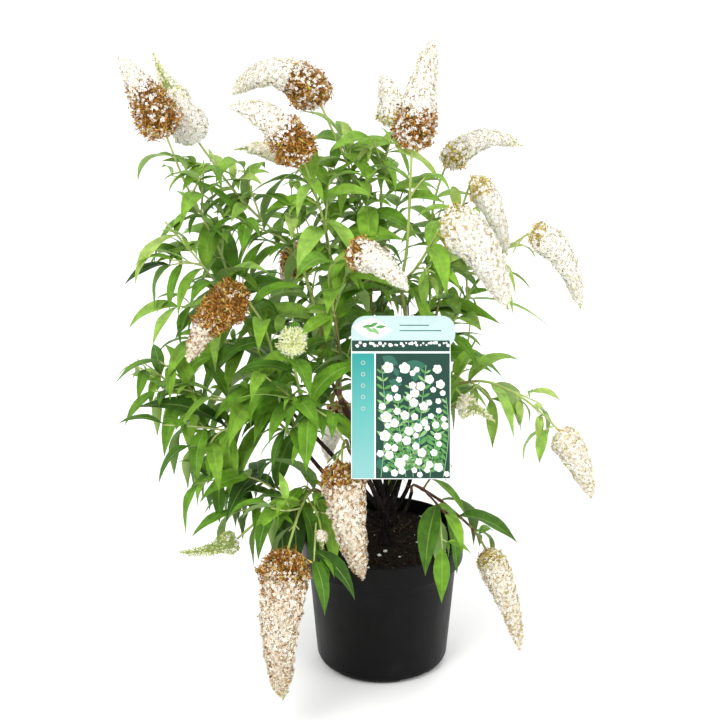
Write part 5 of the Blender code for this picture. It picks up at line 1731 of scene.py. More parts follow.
def add_spike(heap, name, axis, flower, seed):
    """A flower spike: florets crowded over a rough core, lumpy as their clusters are."""
    rng = np.random.default_rng(seed)
    line = smooth_line(axis, CORE_STEP)
    totals = np.array(lengths_along(line))
    shares = totals / totals[-1]
    zones = [zone_at(name, flower, share) for share in shares]
    girths = np.array([flower_girth(min(share, LAST_GIRTH), flower.green) for share in shares])
    girths = girths * flower.width / 2
    frames = transported(line)
    places = np.array(line)
    ahead = np.array([row[0] for row in frames])
    side = np.array([row[1] for row in frames])
    other = np.cross(ahead, side)

    crowding = np.array([CROWDING[zone] for zone in zones[1:]])
    bands = (girths[1:] + girths[:-1]) / 2 * np.diff(totals) * math.tau * crowding
    reached = np.concatenate([[0], np.cumsum(bands)])
    count = int(reached[-1] / FLORET_AREA)
    spots = (np.arange(count) + rng.random(count)) / count * reached[-1]
    at = np.interp(spots, reached, np.arange(len(line)))
    low = np.minimum(at.astype(int), len(line) - 2)
    part = (at - low)[:, None]
    angle = np.arange(count) * math.pi * GOLDEN_TURN + rng.normal(0, TURN_BLUR, count)
    axis_place = places[low] * (1 - part) + places[low + 1] * part
    way = side[low] * np.cos(angle)[:, None] + other[low] * np.sin(angle)[:, None]
    share = shares[low]
    girth = girths[low] * (1 - part[:, 0]) + girths[low + 1] * part[:, 0]
    surface = axis_place + way * girth[:, None]
    lumps = noise_over(surface, LUMP_SCALE)

    kinds = kinds_of(name, flower, share, surface, rng)
    is_dry = np.isin(kinds, DRY_KINDS)
    among_fresh = is_dry & (share > flower.brown)
    among_dry = ~is_dry & (share < flower.brown)
    dry_depth, fresh_depth = rng.normal(DRY_DEPTH, DRY_DEPTH_SPREAD, count), rng.random(count) * FRESH_DEPTH
    depth = np.where(is_dry, dry_depth, fresh_depth)
    depth = np.where(among_fresh, rng.uniform(*LONE_DRY_DEPTHS, count), depth)
    lump_depth = np.where(is_dry & ~among_fresh, DRY_LUMP_DEPTH, LUMP_DEPTH)
    reach = girth * (FLORET_REACH + lump_depth * lumps) - depth
    reach = np.maximum(reach, girth * FLORET_LEAST_REACH)
    lean = (LEAN_AT_FOOT + LEAN_AT_TIP * share**3)[:, None]
    lean_spread = np.where(is_dry, DRY_LEAN_SPREAD, LEAN_SPREAD)[:, None]
    out = way + ahead[low] * lean + rng.normal(0, 1, (count, 3)) * lean_spread
    out /= np.linalg.norm(out, axis=1, keepdims=True)
    turns = turns_to(out, rng.uniform(0, math.tau, count))
    spread = np.where(is_dry, rng.uniform(*DRY_SIZES, count), rng.uniform(*FRESH_SIZES, count))
    sizes = FLORET_SPAN * (1 - SIZE_SHRINK * share**2) * spread
    sizes *= np.where(among_dry | among_fresh, LONE_SIZE, 1.0)
    other_size = np.where(kinds == "spider", SPIDER_SIZE, 1.0)
    sizes *= np.where(np.isin(kinds, ("green", "pale")), BUD_SIZE, other_size)

    points = axis_place + way * reach[:, None]
    for kind, shape in SHAPES.items():
        chosen = kinds == kind
        crumple = DRY_CRUMPLE if kind in DRY_KINDS else CRUMPLE
        scatter(heap, shape, points[chosen], turns[chosen], sizes[chosen], crumple, rng)
    tone_names = dict(CORE_TONES, withered="core_golden") if name in GOLDEN_MASSES else CORE_TONES
    add_core(heap, line, girths * (1 - CORE_THINNING * shares**3), zones, tone_names)


def add_core(heap, line, girths, zones, tone_names):
    """The rough inside of a spike, behind its florets, in the tone of each of its zones."""
    shares = np.array([CORE_GIRTHS[zone] for zone in zones])
    even = np.full(CORE_BLEND, 1 / CORE_BLEND)
    widened = np.convolve(np.pad(shares, CORE_BLEND // 2, "edge"), even, "valid")
    radii = np.maximum(girths * widened, CORE_LEAST)

    def relief(place):
        return CORE_RELIEF * (noise.noise(place * CORE_RELIEF_SCALE) - CORE_RELIEF_SINK)

    faces = tube_faces(len(line), CORE_SIDES, False)
    tones = np.full(len(faces), BLOSSOM["core_pale"])
    for i, zone in enumerate(zones[:-1]):
        tones[i * CORE_SIDES * 2 : (i + 1) * CORE_SIDES * 2] = BLOSSOM[tone_names[zone]]
    heap.add(tube_points(line, radii, CORE_SIDES, relief), faces, tones)


def make_crown():
    """The leaves, twigs and blossom of all masses, joined by kind in each zone of the crown."""
    growths = {name: grow(name, seed) for seed, name in enumerate(MASSES, 1)}
    clearing = Clearing(growths)
    greens = [leaf_material(*tone, roughness=0.46, vein_light=VEIN_LIGHT) for tone in LEAF_TONES]
    greens += [speckled(*tone, spread=0.10, scale=60, roughness=0.62) for tone in UNDERSIDE_TONES]
    stems = [speckled(*tone, spread=0.18, scale=90, roughness=0.55, relief=0.0002, stretch=(1, 1, 0.3))
             for tone in STEM_TONES]
    petals = [speckled(*tone, spread=0.06, scale=300, roughness=0.62) for tone in BLOSSOM_TONES]
    seed = 0
    for zone, boughs in ZONES.items():
        names = [name for name in MASSES if MASSES[name][0] in boughs]
        foliage, blossoms = Foliage(clearing), [Heap()]
        for name in names:
            foliage.add_mass(name, growths[name])
            for axis, flower in growths[name].flowers:
                add_spike(blossoms[-1], name, axis, flower, seed)
                seed += 1
                if sum(len(faces) for faces in blossoms[-1].faces) > BLOSSOM_LIMIT:
                    blossoms.append(Heap())
        nodes = ["foliage_" + name for name in names]
        foliage.leaves.piece("leaves_" + zone, greens, "foliage", nodes, sharp=75)
        foliage.twigs.piece("twigs_" + zone, stems, "foliage")
        for number, blossom in enumerate((heap for heap in blossoms if heap.faces), 1):
            blossom.piece("blossom_" + zone + "_" + str(number), petals, "blossom", sharp=50)


# Trunk and boughs

def bark_material():
    """Fibrous bark: near black at the foot, its own dark old bark with painted shade from the crown over it,
    a reddish brown higher up, and green on young wood.
    """
    material, tree, shader = shader_of("bark", (0.020, 0.014, 0.012), roughness=0.86, specular=0.1)
    # Darker towards the foot: the near black there paints the crown's shade over the bark's own dark brown
    height = ramp_node(tree, height_of_place(tree), (
        (0.30, (0.006, 0.005, 0.005)), (0.44, (0.060, 0.028, 0.020)), (0.54, (0.150, 0.130, 0.045)),
        (0.62, (0.250, 0.280, 0.080)),
    ))
    fibres = noise_node(tree, scale=420, detail=6.0, stretch=(1, 1, 0.10))
    mix = tree.nodes.new("ShaderNodeMix")
    mix.data_type = "RGBA"
    mix.blend_type = "ADD"
    mix.inputs["Factor"].default_value = 1.0
    ridges = ramp_node(tree, fibres.outputs["Fac"], (
        (0.35, (0.000, 0.000, 0.000)), (0.55, (0.006, 0.004, 0.003)), (0.75, (0.050, 0.033, 0.025)),
    ))
    tree.links.new(height.outputs["Color"], mix.inputs["A"])
    tree.links.new(ridges.outputs["Color"], mix.inputs["B"])
    tree.links.new(mix.outputs["Result"], shader.inputs["Base Color"])
    bump(tree, shader, fibres.outputs["Fac"], strength=0.9, distance=0.0005)
    return material


def bark_relief(depth):
    """A relief of long ridges and cracks, as a function of place."""

    def stretched(place, scales):
        across, along = scales
        return noise.noise(Vector((place.x * across, place.y * across, place.z * along)))

    def relief(place):
        ridges = RIDGE_SHARE * stretched(place, RIDGE_SCALES)
        return depth * (ridges + CRACK_SHARE * stretched(place, CRACK_SCALES))

    return relief


def trunk_points():
    """Rings round the trunk, with its root flare and the relief of its bark."""
    relief = bark_relief(TRUNK_RELIEF)
    rings = []
    for i in range(TRUNK_STEPS + 1):
        share = i / TRUNK_STEPS
        centre = TRUNK_FOOT + TRUNK_RISE * share
        for k in range(TRUNK_SIDES):
            angle = math.tau * k / TRUNK_SIDES
            ribs = 1 + FLARE_RIB_DEPTH * math.cos(FLARE_RIBS * angle + FLARE_TURN)
            flare = (TRUNK_FLARE - TRUNK_RADIUS) * (1 - share) ** FLARE_POWER * ribs
            radius = TRUNK_RADIUS + (TRUNK_TOP_RADIUS - TRUNK_RADIUS) * share + flare
            way = Vector((math.cos(angle), math.sin(angle), 0))
            rings.append(centre + way * (radius + relief(centre + way * radius)))
    return np.array(rings)


def make_wood():
    """The bark of the trunk and of its boughs, from the trunk's axis to each bough's tip."""
    bark = bark_material()
    trunk = Heap()
    trunk.add(trunk_points(), tube_faces(TRUNK_STEPS + 1, TRUNK_SIDES, False), 0)
    trunk.piece("trunk_bark", [bark], "bark", ["trunk"], sharp=70)
    boughs = Heap()
    for bough in BOUGHS.values():
        start, _ = bough_start(bough)
        line = [start] + bough_line(bough, BOUGH_FINE_STEPS)
        totals = lengths_along(line)
        radii = [bough.radius + (BOUGH_TIP_RADIUS - bough.radius) * total / totals[-1] for total in totals]
        points = tube_points(line, radii, BOUGH_SIDES, bark_relief(BOUGH_RELIEF))
        boughs.add(points, tube_faces(len(line), BOUGH_SIDES, False), 0)
    boughs.piece("boughs_bark", [bark], "bark", ["bough_" + name for name in BOUGHS], sharp=70)


# Pot

def pot_profile():
    """The pot's section as (radius, z), from the middle of its underside round to its floor inside."""
    slope = (BODY_TOP_RADIUS - FOOT_RADIUS) / COLLAR_FOOT
    floor_radius = FOOT_RADIUS + slope * FLOOR - WALL - HOLLOW_DRAFT
    return [
        (0, 0),
        (FOOT_RADIUS * FLAT_SHARE, 0),
        *arc(FOOT_RADIUS - CORNER_RADIUS, CORNER_RADIUS, CORNER_RADIUS, first=-90, last=-4, steps=8),
        *[(FOOT_RADIUS + slope * z, z) for z in BODY_HEIGHTS],
        *[(BODY_TOP_RADIUS + out, COLLAR_FOOT + up) for out, up in COLLAR_GROOVE],
        *[(RIM_RADIUS + out, COLLAR_FOOT + up) for out, up in COLLAR_ROUND],
        *[(RIM_RADIUS + out, RIM_TOP + up) for out, up in RIM_BAND],
        *arc(RIM_RADIUS - RIM_ROUND, RIM_TOP - RIM_ROUND, RIM_ROUND, first=0, last=90, steps=4),
        *arc(RIM_RADIUS - WALL + RIM_INNER_ROUND, RIM_TOP - RIM_INNER_ROUND, RIM_INNER_ROUND,
             first=90, last=180, steps=3),
        (RIM_RADIUS - WALL, COLLAR_FOOT + WALL + LEDGE_RISE),
        (BODY_TOP_RADIUS - WALL, COLLAR_FOOT + WALL - LEDGE_RISE),
        (floor_radius, FLOOR + FLOOR_CORNER),
        (floor_radius - FLOOR_CORNER, FLOOR),
        (0, FLOOR),
    ]


def lathe(name, profile, sides):
    """A closed turned body whose profile starts and ends on the axis."""
    points, faces = [(0, 0, profile[0][1])], []
    for radius, z in profile[1:-1]:
        points += [(x, y, z) for x, y in circle(radius, sides)]
    points.append((0, 0, profile[-1][1]))
    last = len(points) - 1
    for k in range(sides):
        after = (k + 1) % sides
        faces.append((0, 1 + after, 1 + k))
        for i in range(len(profile) - 3):
            a, b = 1 + i * sides + k, 1 + i * sides + after
            faces.append((a, b, b + sides, a + sides))
        faces.append((last, last - sides + k, last - sides + after))
    return plain_object(name, points, faces)


def notch_block(middle):
    """A block with curved ends that cuts one notch in the pot's foot."""
    outline = []
    for radius, way in ((FOOT_RADIUS - FOOT_NOTCH_DEPTH, 1), (RIM_RADIUS, -1)):
        for step in range(FOOT_NOTCH_STEPS + 1):
            turn = middle + way * FOOT_NOTCH_HALF_SPAN * (2 * step / FOOT_NOTCH_STEPS - 1)
            outline.append((radius * math.sin(turn), -radius * math.cos(turn)))
    outline.reverse()
    count = len(outline)
    points = [(x, y, z) for z in (FOOT_NOTCH_HEIGHT, -FOOT_NOTCH_HEIGHT) for x, y in outline]
    faces = [tuple(range(count)), tuple(reversed(range(count, 2 * count)))]
    for k in range(count):
        after = (k + 1) % count
        faces.append((after, k, k + count, after + count))
    return plain_object("notch", points, faces)


def pot_material():
    """Black moulded plastic: a satin skin with fine grain and soft, slightly uneven gloss."""
    base = (0.0025, 0.0025, 0.0025)
    material, tree, shader = shader_of("pot_plastic", base, roughness=0.40, specular=0.11)
    cloud = noise_node(tree, scale=26, detail=4.0)
    ramp = ramp_node(tree, cloud.outputs["Fac"], greys((0.35, 0.0015), (0.60, 0.003), (0.80, 0.007)))
    tree.links.new(ramp.outputs["Color"], shader.inputs["Base Color"])
    sheen = noise_node(tree, scale=60, stretch=(1, 1, 0.2))
    gloss = ramp_node(tree, sheen.outputs["Fac"], greys((0.30, 0.33), (0.75, 0.48)))
    tree.links.new(gloss.outputs["Color"], shader.inputs["Roughness"])
    grain = noise_node(tree, scale=900, detail=2.0)
    bump(tree, shader, grain.outputs["Fac"], strength=0.35, distance=0.00012)
    return material


def make_pot():
    """The pot's shell, with the notches cut in its foot."""
    shell = lathe("pot_work", pot_profile(), POT_SIDES)
    bpy.context.scene.collection.objects.link(shell)
    blocks = bpy.data.collections.new("notches")
    for k in range(FOOT_NOTCHES):
        blocks.objects.link(notch_block(FOOT_NOTCH_TURN + math.tau * k / FOOT_NOTCHES))
    cut = shell.modifiers.new("Notches", "BOOLEAN")
    cut.operation = "DIFFERENCE"
    cut.operand_type = "COLLECTION"
    cut.collection = blocks
    cut.solver = "EXACT"
    bpy.context.view_layer.update()
    cut_mesh = bpy.data.meshes.new_from_object(
        shell.evaluated_get(bpy.context.evaluated_depsgraph_get())
    )
    cut_mesh.name = "pot_shell_cut"
    for block in list(blocks.objects):
        bpy.data.objects.remove(block)
    bpy.data.collections.remove(blocks)
    bpy.data.objects.remove(shell)
    cut_mesh.materials.clear()
    finished("pot_shell", cut_mesh, [pot_material()], ["pot"], sharp=32)


# Soil

def soil_height(x, y):
    """The height of the soil's surface, with its clods and crumbs."""
    radius = math.hypot(x, y)
    fall = SOIL_EDGE_FALL * min(1.0, max(0.0, (radius - SOIL_LEVEL_RADIUS) / SOIL_FALL_WIDTH)) ** 2
    clods = noise.fractal(Vector((x * CLOD_SCALE, y * CLOD_SCALE, CLOD_LAYER)), *CLOD_OCTAVES)
    crumbs = noise.noise(Vector((x * CRUMB_SCALE, y * CRUMB_SCALE, CRUMB_LAYER)))
    calm = min(1.0, max(CALM_LEAST, (radius - CALM_RADIUS) / CALM_WIDTH))
    return SOIL_TOP - SOIL_SINK - fall + (SOIL_ROUGHNESS * clods + SOIL_CRUMBS * crumbs) * calm


def soil_material():
    """Moist peat: near black, with warm brown crumbs."""
    material, tree, shader = shader_of("peat", (0.018, 0.012, 0.009), roughness=0.92, specular=0.1)
    crumbs = noise_node(tree, scale=380, detail=8.0)
    ramp = ramp_node(tree, crumbs.outputs["Fac"], (
        (0.32, (0.003, 0.002, 0.002)), (0.50, (0.010, 0.007, 0.005)), (0.66, (0.034, 0.021, 0.014)),
        (0.80, (0.090, 0.055, 0.035)),
    ))
    tree.links.new(ramp.outputs["Color"], shader.inputs["Base Color"])
    bump(tree, shader, crumbs.outputs["Fac"], strength=1.0, distance=0.0012)
    return material


def crumb_shape(rng):
    """An uneven lump of eight faces, about one unit across."""
    points = [(1, 0, 0), (0, 1, 0), (-1, 0, 0), (0, -1, 0), (0, 0, LUMP_HEIGHT), (0, 0, -LUMP_HEIGHT)]
    points = np.array(points) * 0.5
    points = points * rng.uniform(*LUMP_SIZES, points.shape)
    faces = np.array([(0, 1, 4), (1, 2, 4), (2, 3, 4), (3, 0, 4), (1, 0, 5), (2, 1, 5), (3, 2, 5), (0, 3, 5)])
    return points, faces


def spot_on_soil(rng, margin, least):
    """(radius, angle) of a place on the soil, dealt evenly over it from the least share of its area."""
    return (SOIL_EDGE - margin) * math.sqrt(rng.uniform(least, 1)), rng.uniform(0, math.tau)


def dry_twig(rng):
    """The line of a dry twig that lies on the soil, slightly bowed."""
    radius, angle = spot_on_soil(rng, DRY_TWIG_MARGIN, DRY_TWIG_LEAST)
    heading, length = rng.uniform(0, math.tau), rng.uniform(*DRY_TWIG_LENGTHS)
    line = []
    for k in range(DRY_TWIG_STEPS + 1):
        reach = length * (k / DRY_TWIG_STEPS - 0.5)
        bow = DRY_TWIG_BOW * math.sin(k * DRY_TWIG_WAVE + angle)
        x = radius * math.cos(angle) + reach * math.cos(heading) - bow * math.sin(heading)
        y = radius * math.sin(angle) + reach * math.sin(heading) + bow * math.cos(heading)
        if math.hypot(x, y) < SOIL_EDGE - BITS_MARGIN:
            line.append(Vector((x, y, soil_height(x, y) + DRY_TWIG_RISE)))
    return line


def make_soil_bits():
    """Crumbs of peat and bark, white grit and a few dry twigs that lie on the soil."""
    rng = np.random.default_rng(BITS_SEED)
    bits = Heap()
    for tone, (count, (smallest, largest)) in enumerate(zip(BIT_COUNTS, BIT_SIZES)):
        for _ in range(count):
            radius, angle = spot_on_soil(rng, BITS_MARGIN, BITS_LEAST)
            x, y = radius * math.cos(angle), radius * math.sin(angle)
            shape, faces = crumb_shape(rng)
            size = smallest + (largest - smallest) * rng.random() ** 2
            turn = np.array(Matrix.Rotation(rng.uniform(0, math.tau), 3, "Z"))
            centre = np.array((x, y, soil_height(x, y) + size * BIT_SINK))
            bits.add(centre + (shape @ turn.T) * size, faces, tone)
    for _ in range(DRY_TWIGS):
        line = dry_twig(rng)
        if len(line) > 2:
            radii = [rng.uniform(*DRY_TWIG_RADII)] * len(line)
            faces = tube_faces(len(line), DRY_TWIG_SIDES, False)
            bits.add(tube_points(line, radii, DRY_TWIG_SIDES), faces, len(BIT_COUNTS))
    bits.piece("soil_bits", [speckled(*row) for row in BIT_LOOKS], "soil", sharp=30)


def make_soil():
    """The soil, with an uneven surface. Its side follows the inside of the pot, just clear of it."""
    in_body = BODY_TOP_RADIUS - WALL - SOIL_CLEARANCE
    in_rim = RIM_RADIUS - WALL - SOIL_CLEARANCE
    below = ((in_body - SOIL_SKIRT_TAPER, COLLAR_FOOT - SOIL_SKIRT), (in_body, COLLAR_FOOT + WALL),
             (in_rim, COLLAR_FOOT + WALL + SOIL_LEDGE))
    points = [(x, y, z) for radius, z in below for x, y in circle(radius, SOIL_SIDES)]
    for i in range(SOIL_RINGS):
        row = circle(SOIL_EDGE * (1 - i / SOIL_RINGS), SOIL_SIDES)
        points += [(x, y, soil_height(x, y)) for x, y in row]
    points.append((0, 0, soil_height(0, 0)))
    body = Heap()
    body.add(np.array(points), tube_faces(len(below) + SOIL_RINGS, SOIL_SIDES, True), 0)
    body.piece("soil_surface", [soil_material()], "soil", ["soil"], sharp=80)
    make_soil_bits()


# Label

def rounded_rectangle(left, top, right, bottom, radii, steps=8):
    """An outline with a radius for each corner: left top, left bottom, right bottom, right top."""
    corners = ((left, top, 1, -1, 90), (left, bottom, 1, 1, 180), (right, bottom, -1, 1, 270),
               (right, top, -1, -1, 0))
    outline = []
    for (x, y, way_x, way_y, first), radius in zip(corners, radii):
        outline += arc(x + way_x * radius, y + way_y * radius, radius, first, first + 90, steps)
    return outline


def disc(x, y, radius, sides):
    """A round outline about a place."""
    return [(x + right, y + up) for right, up in circle(radius, sides)]


def almond(x, y, length, width, heading, steps=8):
    """A simple leaf's outline that starts at a place and points along a heading in degrees."""
    turn = math.radians(heading)
    outline = []
    for way in (1, -1):
        for k in range(steps):
            share = k / steps if way == 1 else 1 - k / steps
            across = -way * width / 2 * math.sin(math.pi * share)
            along = length * share
            outline.append((x + along * math.cos(turn) - across * math.sin(turn),
                            y + along * math.sin(turn) + across * math.cos(turn)))
    return outline


def stroke(places, width):
    """A line of even width through places, as an outline."""
    left, right = [], []
    for i, (x, y) in enumerate(places):
        before, after = places[max(i - 1, 0)], places[min(i + 1, len(places) - 1)]
        dx, dy = after[0] - before[0], after[1] - before[1]
        size = math.hypot(dx, dy)
        nx, ny = -dy / size * width / 2, dx / size * width / 2
        left.append((x + nx, y + ny))
        right.append((x - nx, y - ny))
    return right + left[::-1]


def glossy(name, colour):
    """Printed plastic: an even ink under a thin clear coat, with the faintest mottling."""
    material = speckled(name, colour, spread=0.03, scale=130, roughness=INK_ROUGHNESS)
    material.node_tree.nodes["Principled BSDF"].inputs["Coat Weight"].default_value = COAT
    return material


def band_material(name, colour):
    """The turquoise band, deeper at its top and pale at its foot."""
    material, tree, shader = shader_of(name, colour, INK_ROUGHNESS)
    top = LABEL_TOP.z
    bottom = top - CARD_HEIGHT * math.cos(LABEL_TILT)
    height = math_node(tree, "SUBTRACT", height_of_place(tree), bottom)
    share = math_node(tree, "DIVIDE", height, top - bottom)
    ramp = ramp_node(tree, share, (
        (0.05, (0.215, 0.455, 0.440)), (0.40, (0.110, 0.400, 0.375)), (0.75, (0.026, 0.285, 0.262)),
    ))
    tree.links.new(ramp.outputs["Color"], shader.inputs["Base Color"])
    shader.inputs["Coat Weight"].default_value = COAT
    return material


class Plates:
    """Flat plates of the label, in its own frame, gathered into one mesh."""

    def __init__(self):
        self.points, self.faces, self.tones = [], [], []

    def add(self, outline, top, thickness, ink, bevel=0.0):
        """A plate under its top, with its upper edge drawn in by a bevel."""
        count, first = len(outline), len(self.points)
        middle_x = sum(x for x, _ in outline) / count
        middle_y = sum(y for _, y in outline) / count
        size = max(math.hypot(x - middle_x, y - middle_y) for x, y in outline)
        levels = [(top - thickness, 0.0), (top - bevel, 0.0)]
        if bevel:
            levels.append((top, bevel / size))
        for z, inset in levels:
            for x, y in outline:
                self.points.append((x + (middle_x - x) * inset, y + (middle_y - y) * inset, z))
        self.faces.append(tuple(first + k for k in reversed(range(count))))
        self.faces.append(tuple(first + (len(levels) - 1) * count + k for k in range(count)))
        for i in range(len(levels) - 1):
            for k in range(count):
                a, b = first + i * count + k, first + i * count + (k + 1) % count
                self.faces.append((a, b, b + count, a + count))
        self.tones += [list(INKS).index(ink)] * (len(self.faces) - len(self.tones))

    def piece(self, name, materials, nodes=()):
        """The plates as one piece of the label, in its place."""
        mesh = bpy.data.meshes.new(name)
        face = label_place()
        mesh.from_pydata([face @ Vector(p) for p in self.points], [], self.faces)
        mesh.polygons.foreach_set("material_index", self.tones)
        mesh.update()
        return finished(name, mesh, materials, nodes, sharp=30)


# The marks, leaves and blossoms of the print, in metres, degrees and shares of a blossom's size. A
# ring's parts are (radius, level, ink). The oval and a sprig's leaf start with (height, length,
# width), and a rule is (height, right end).
RINGS = 5
RING_LEFT = 0.0166
RING_TOP = 0.014
RING_GAP = 0.017
RING_PARTS = ((0.0032, 1, "shade"), (0.0021, 2, "band"))
RING_SIDES = 16
BLOTCHES = 26
BLOTCH_LENGTHS = (0.014, 0.036)
BLOTCH_WIDTHS = (0.008, 0.016)
SPRAYS = 7
SPRAY_STEPS = 14
SPRAY_FIRST = 0.07
SPRAY_GAP = 0.143
SPRAY_FOOT = 0.002
SPRAY_TOP = 0.020
SPRAY_TOP_STEP = 0.024
SPRAY_SWAY = 0.006
SPRAY_WAVE = 3
SPRAY_WIDTH = 0.0009
SPRAY_HEADINGS = (38, 142)
SPRAY_LEAF = 0.020
SPRAY_LEAF_SHRINK = 0.035
SPRAY_LEAF_SIZES = (0.8, 1.2)
SPRAY_LEAF_WIDTH = 0.32
SPRAY_LEAF_TURN = 12
BLOSSOMS = 62
BLOSSOM_TRIES = 900
BLOSSOM_SIZES = (0.0048, 0.0060, 0.0075, 0.0092)
BLOSSOM_GAP = 0.80
BLOSSOM_TOP = 0.020
PETALS = 5
PETAL_OUT = 0.52
PETAL_SIZE = 0.40
PETAL_SIDES = 12
PETAL_TURN = 90
PETAL_STEP = 0.00001
EYE_SIZE = 0.18
EYE_SIDES = 10
SHADE_SIZE = 0.84
SHADE_DROP = 0.1
STRIP_BLOSSOMS = 34
STRIP_MARGIN = 0.005
STRIP_STRAY = 0.4
STRIP_GAP = 0.0042
STRIP_SWAY = 0.0028
STRIP_SIZES = (0.0014, 0.0034)
PRINT_MARGIN = 0.001
OVAL = (-0.016, 0.060, 0.030, -6)
SPRIG_LEFT = 0.016
SPRIG_STEP = 0.005
SPRIG_LEAF = (-0.017, 0.016, 0.005)
SPRIG_HEADINGS = (10, -30, 26, -46, 4)
RULES = ((-0.0135, 0.040), (-0.0215, 0.058))
RULES_LEFT = -0.004
RULE_WIDTH = 0.0014


class Print(Plates):
    """The print on the label: bands, plain marks, and round blossoms over simple leaves. Each level
    of it lies one sheet over the last."""

    def __init__(self, card_top):
        super().__init__()
        self.rng = random.Random(PRINT_SEED)
        self.levels = [card_top + PRINT_THICKNESS * k for k in range(1, PRINT_LEVELS + 1)]
        self.left, self.right = CARD_LEFT + PRINT_EDGE, CARD_RIGHT - PRINT_EDGE
        self.foot = -CARD_HEIGHT + PRINT_EDGE
        self.picture_left = CARD_LEFT + BAND_WIDTH + PRINT_RULE
        self.width = self.right - (CARD_LEFT + BAND_WIDTH) - PRINT_RULE
        self.add_grounds()
        self.add_marks()
        self.add_blotches()
        self.add_sprays()
        self.add_blossoms()
        self.add_header_print()

    def sheet(self, outline, top, ink):
        """One sheet of ink."""
        self.add(outline, top, SHEET, ink)

    def block(self, x_from, y_from, x_to, y_to, ink, top):
        """One sheet of ink with straight sides."""
        self.sheet([(x_from, y_to), (x_to, y_to), (x_to, y_from), (x_from, y_from)], top, ink)

    def in_picture(self, outline):
        """Whether an outline lies wholly in the picture."""
        return all(self.picture_left < x < self.right and self.foot < y < PICTURE_TOP for x, y in outline)

    def add_grounds(self):
        """The strip over the card, the band down its left and the dark ground of its picture."""
        level = self.levels[0]
        self.block(self.left, STRIP_TOP, self.right, -HEADER_HEIGHT, "ground", PRINT_THICKNESS)
        self.block(self.left, -HEADER_HEIGHT, self.right, STRIP_FOOT, "ground", level)
        self.block(self.left, PICTURE_TOP, CARD_LEFT + BAND_WIDTH, self.foot, "band", level)
        self.block(self.picture_left, PICTURE_TOP, self.right, self.foot, "ground", level)

    def add_marks(self):
        """Five plain rings down the band."""
        for k in range(RINGS):
            x, y = self.left + RING_LEFT, PICTURE_TOP - RING_TOP - k * RING_GAP
            for radius, level, ink in RING_PARTS:
                self.sheet(disc(x, y, radius, RING_SIDES), self.levels[level], ink)

    def add_blotches(self):
        """Softly lighter leaves far behind the picture's sprays."""
        rng = self.rng
        for _ in range(BLOTCHES):
            x, y = self.picture_left + rng.uniform(0, self.width), rng.uniform(self.foot, PICTURE_TOP)
            size, width = rng.uniform(*BLOTCH_LENGTHS), rng.uniform(*BLOTCH_WIDTHS)
            blotch = almond(x, y, size, width, rng.uniform(0, 180))
            if self.in_picture(blotch):
                self.sheet(blotch, self.levels[1], "ground_light")

    def add_sprays(self):
        """Seven leafy stems from the picture's foot."""
        rng = self.rng
        for k in range(SPRAYS):
            base_x = self.picture_left + self.width * (SPRAY_FIRST + SPRAY_GAP * k)
            top_y = PICTURE_TOP - SPRAY_TOP - SPRAY_TOP_STEP * ((k * 3) % 4)
            places = []
            for t in range(SPRAY_STEPS + 1):
                share = (top_y - self.foot) * t / SPRAY_STEPS
                x = base_x + SPRAY_SWAY * math.sin(SPRAY_WAVE * t / SPRAY_STEPS + k)
                places.append((x, self.foot + SPRAY_FOOT + share))
            self.sheet(stroke(places, SPRAY_WIDTH), self.levels[2], "leaf_pale")
            for t in range(1, SPRAY_STEPS):
                for heading in SPRAY_HEADINGS:
                    size = SPRAY_LEAF * (1 - SPRAY_LEAF_SHRINK * t) * rng.uniform(*SPRAY_LEAF_SIZES)
                    turned = heading + rng.uniform(-SPRAY_LEAF_TURN, SPRAY_LEAF_TURN)
                    leaf = almond(*places[t], size, size * SPRAY_LEAF_WIDTH, turned)
                    if self.in_picture(leaf):
                        self.sheet(leaf, self.levels[3], rng.choice(("leaf", "leaf", "leaf_pale")))

    def add_blossoms(self):
        """Round blossoms of four sizes, dealt over the picture so that they hardly overlap."""
        rng, spots = self.rng, []
        for _ in range(BLOSSOM_TRIES):
            size = rng.choice(BLOSSOM_SIZES)
            x = self.picture_left + rng.uniform(size, self.width - size)
            y = rng.uniform(self.foot + size, PICTURE_TOP - BLOSSOM_TOP)
            if all(math.hypot(x - px, y - py) > (size + other) * BLOSSOM_GAP for px, py, other in spots):
                spots.append((x, y, size))
        for x, y, size in spots[:BLOSSOMS]:
            self.add_blossom(x, y, size, self.levels[4])

    def add_header_print(self):
        """Small blossoms along the strip, and a pale oval with a sprig and two plain rules."""
        rng = self.rng
        for k in range(STRIP_BLOSSOMS):
            x = self.left + STRIP_MARGIN + (k + rng.uniform(-STRIP_STRAY, STRIP_STRAY)) * STRIP_GAP
            y = (STRIP_TOP - HEADER_HEIGHT) / 2 + rng.uniform(-STRIP_SWAY, STRIP_SWAY)
            self.add_blossom(x, y, rng.uniform(*STRIP_SIZES), PRINT_THICKNESS * (2 + k % 3))
        self.sheet(almond(CARD_LEFT + PRINT_MARGIN, *OVAL), PRINT_THICKNESS * 2, "white")
        for k, heading in enumerate(SPRIG_HEADINGS):
            sprig = almond(CARD_LEFT + SPRIG_LEFT + SPRIG_STEP * k, *SPRIG_LEAF, heading)
            self.sheet(sprig, PRINT_THICKNESS * (3 + k % 2), "leaf_pale" if k % 2 else "leaf")
        for y, x_to in RULES:
            self.block(RULES_LEFT, y, x_to, y - RULE_WIDTH, "ink", PRINT_THICKNESS)

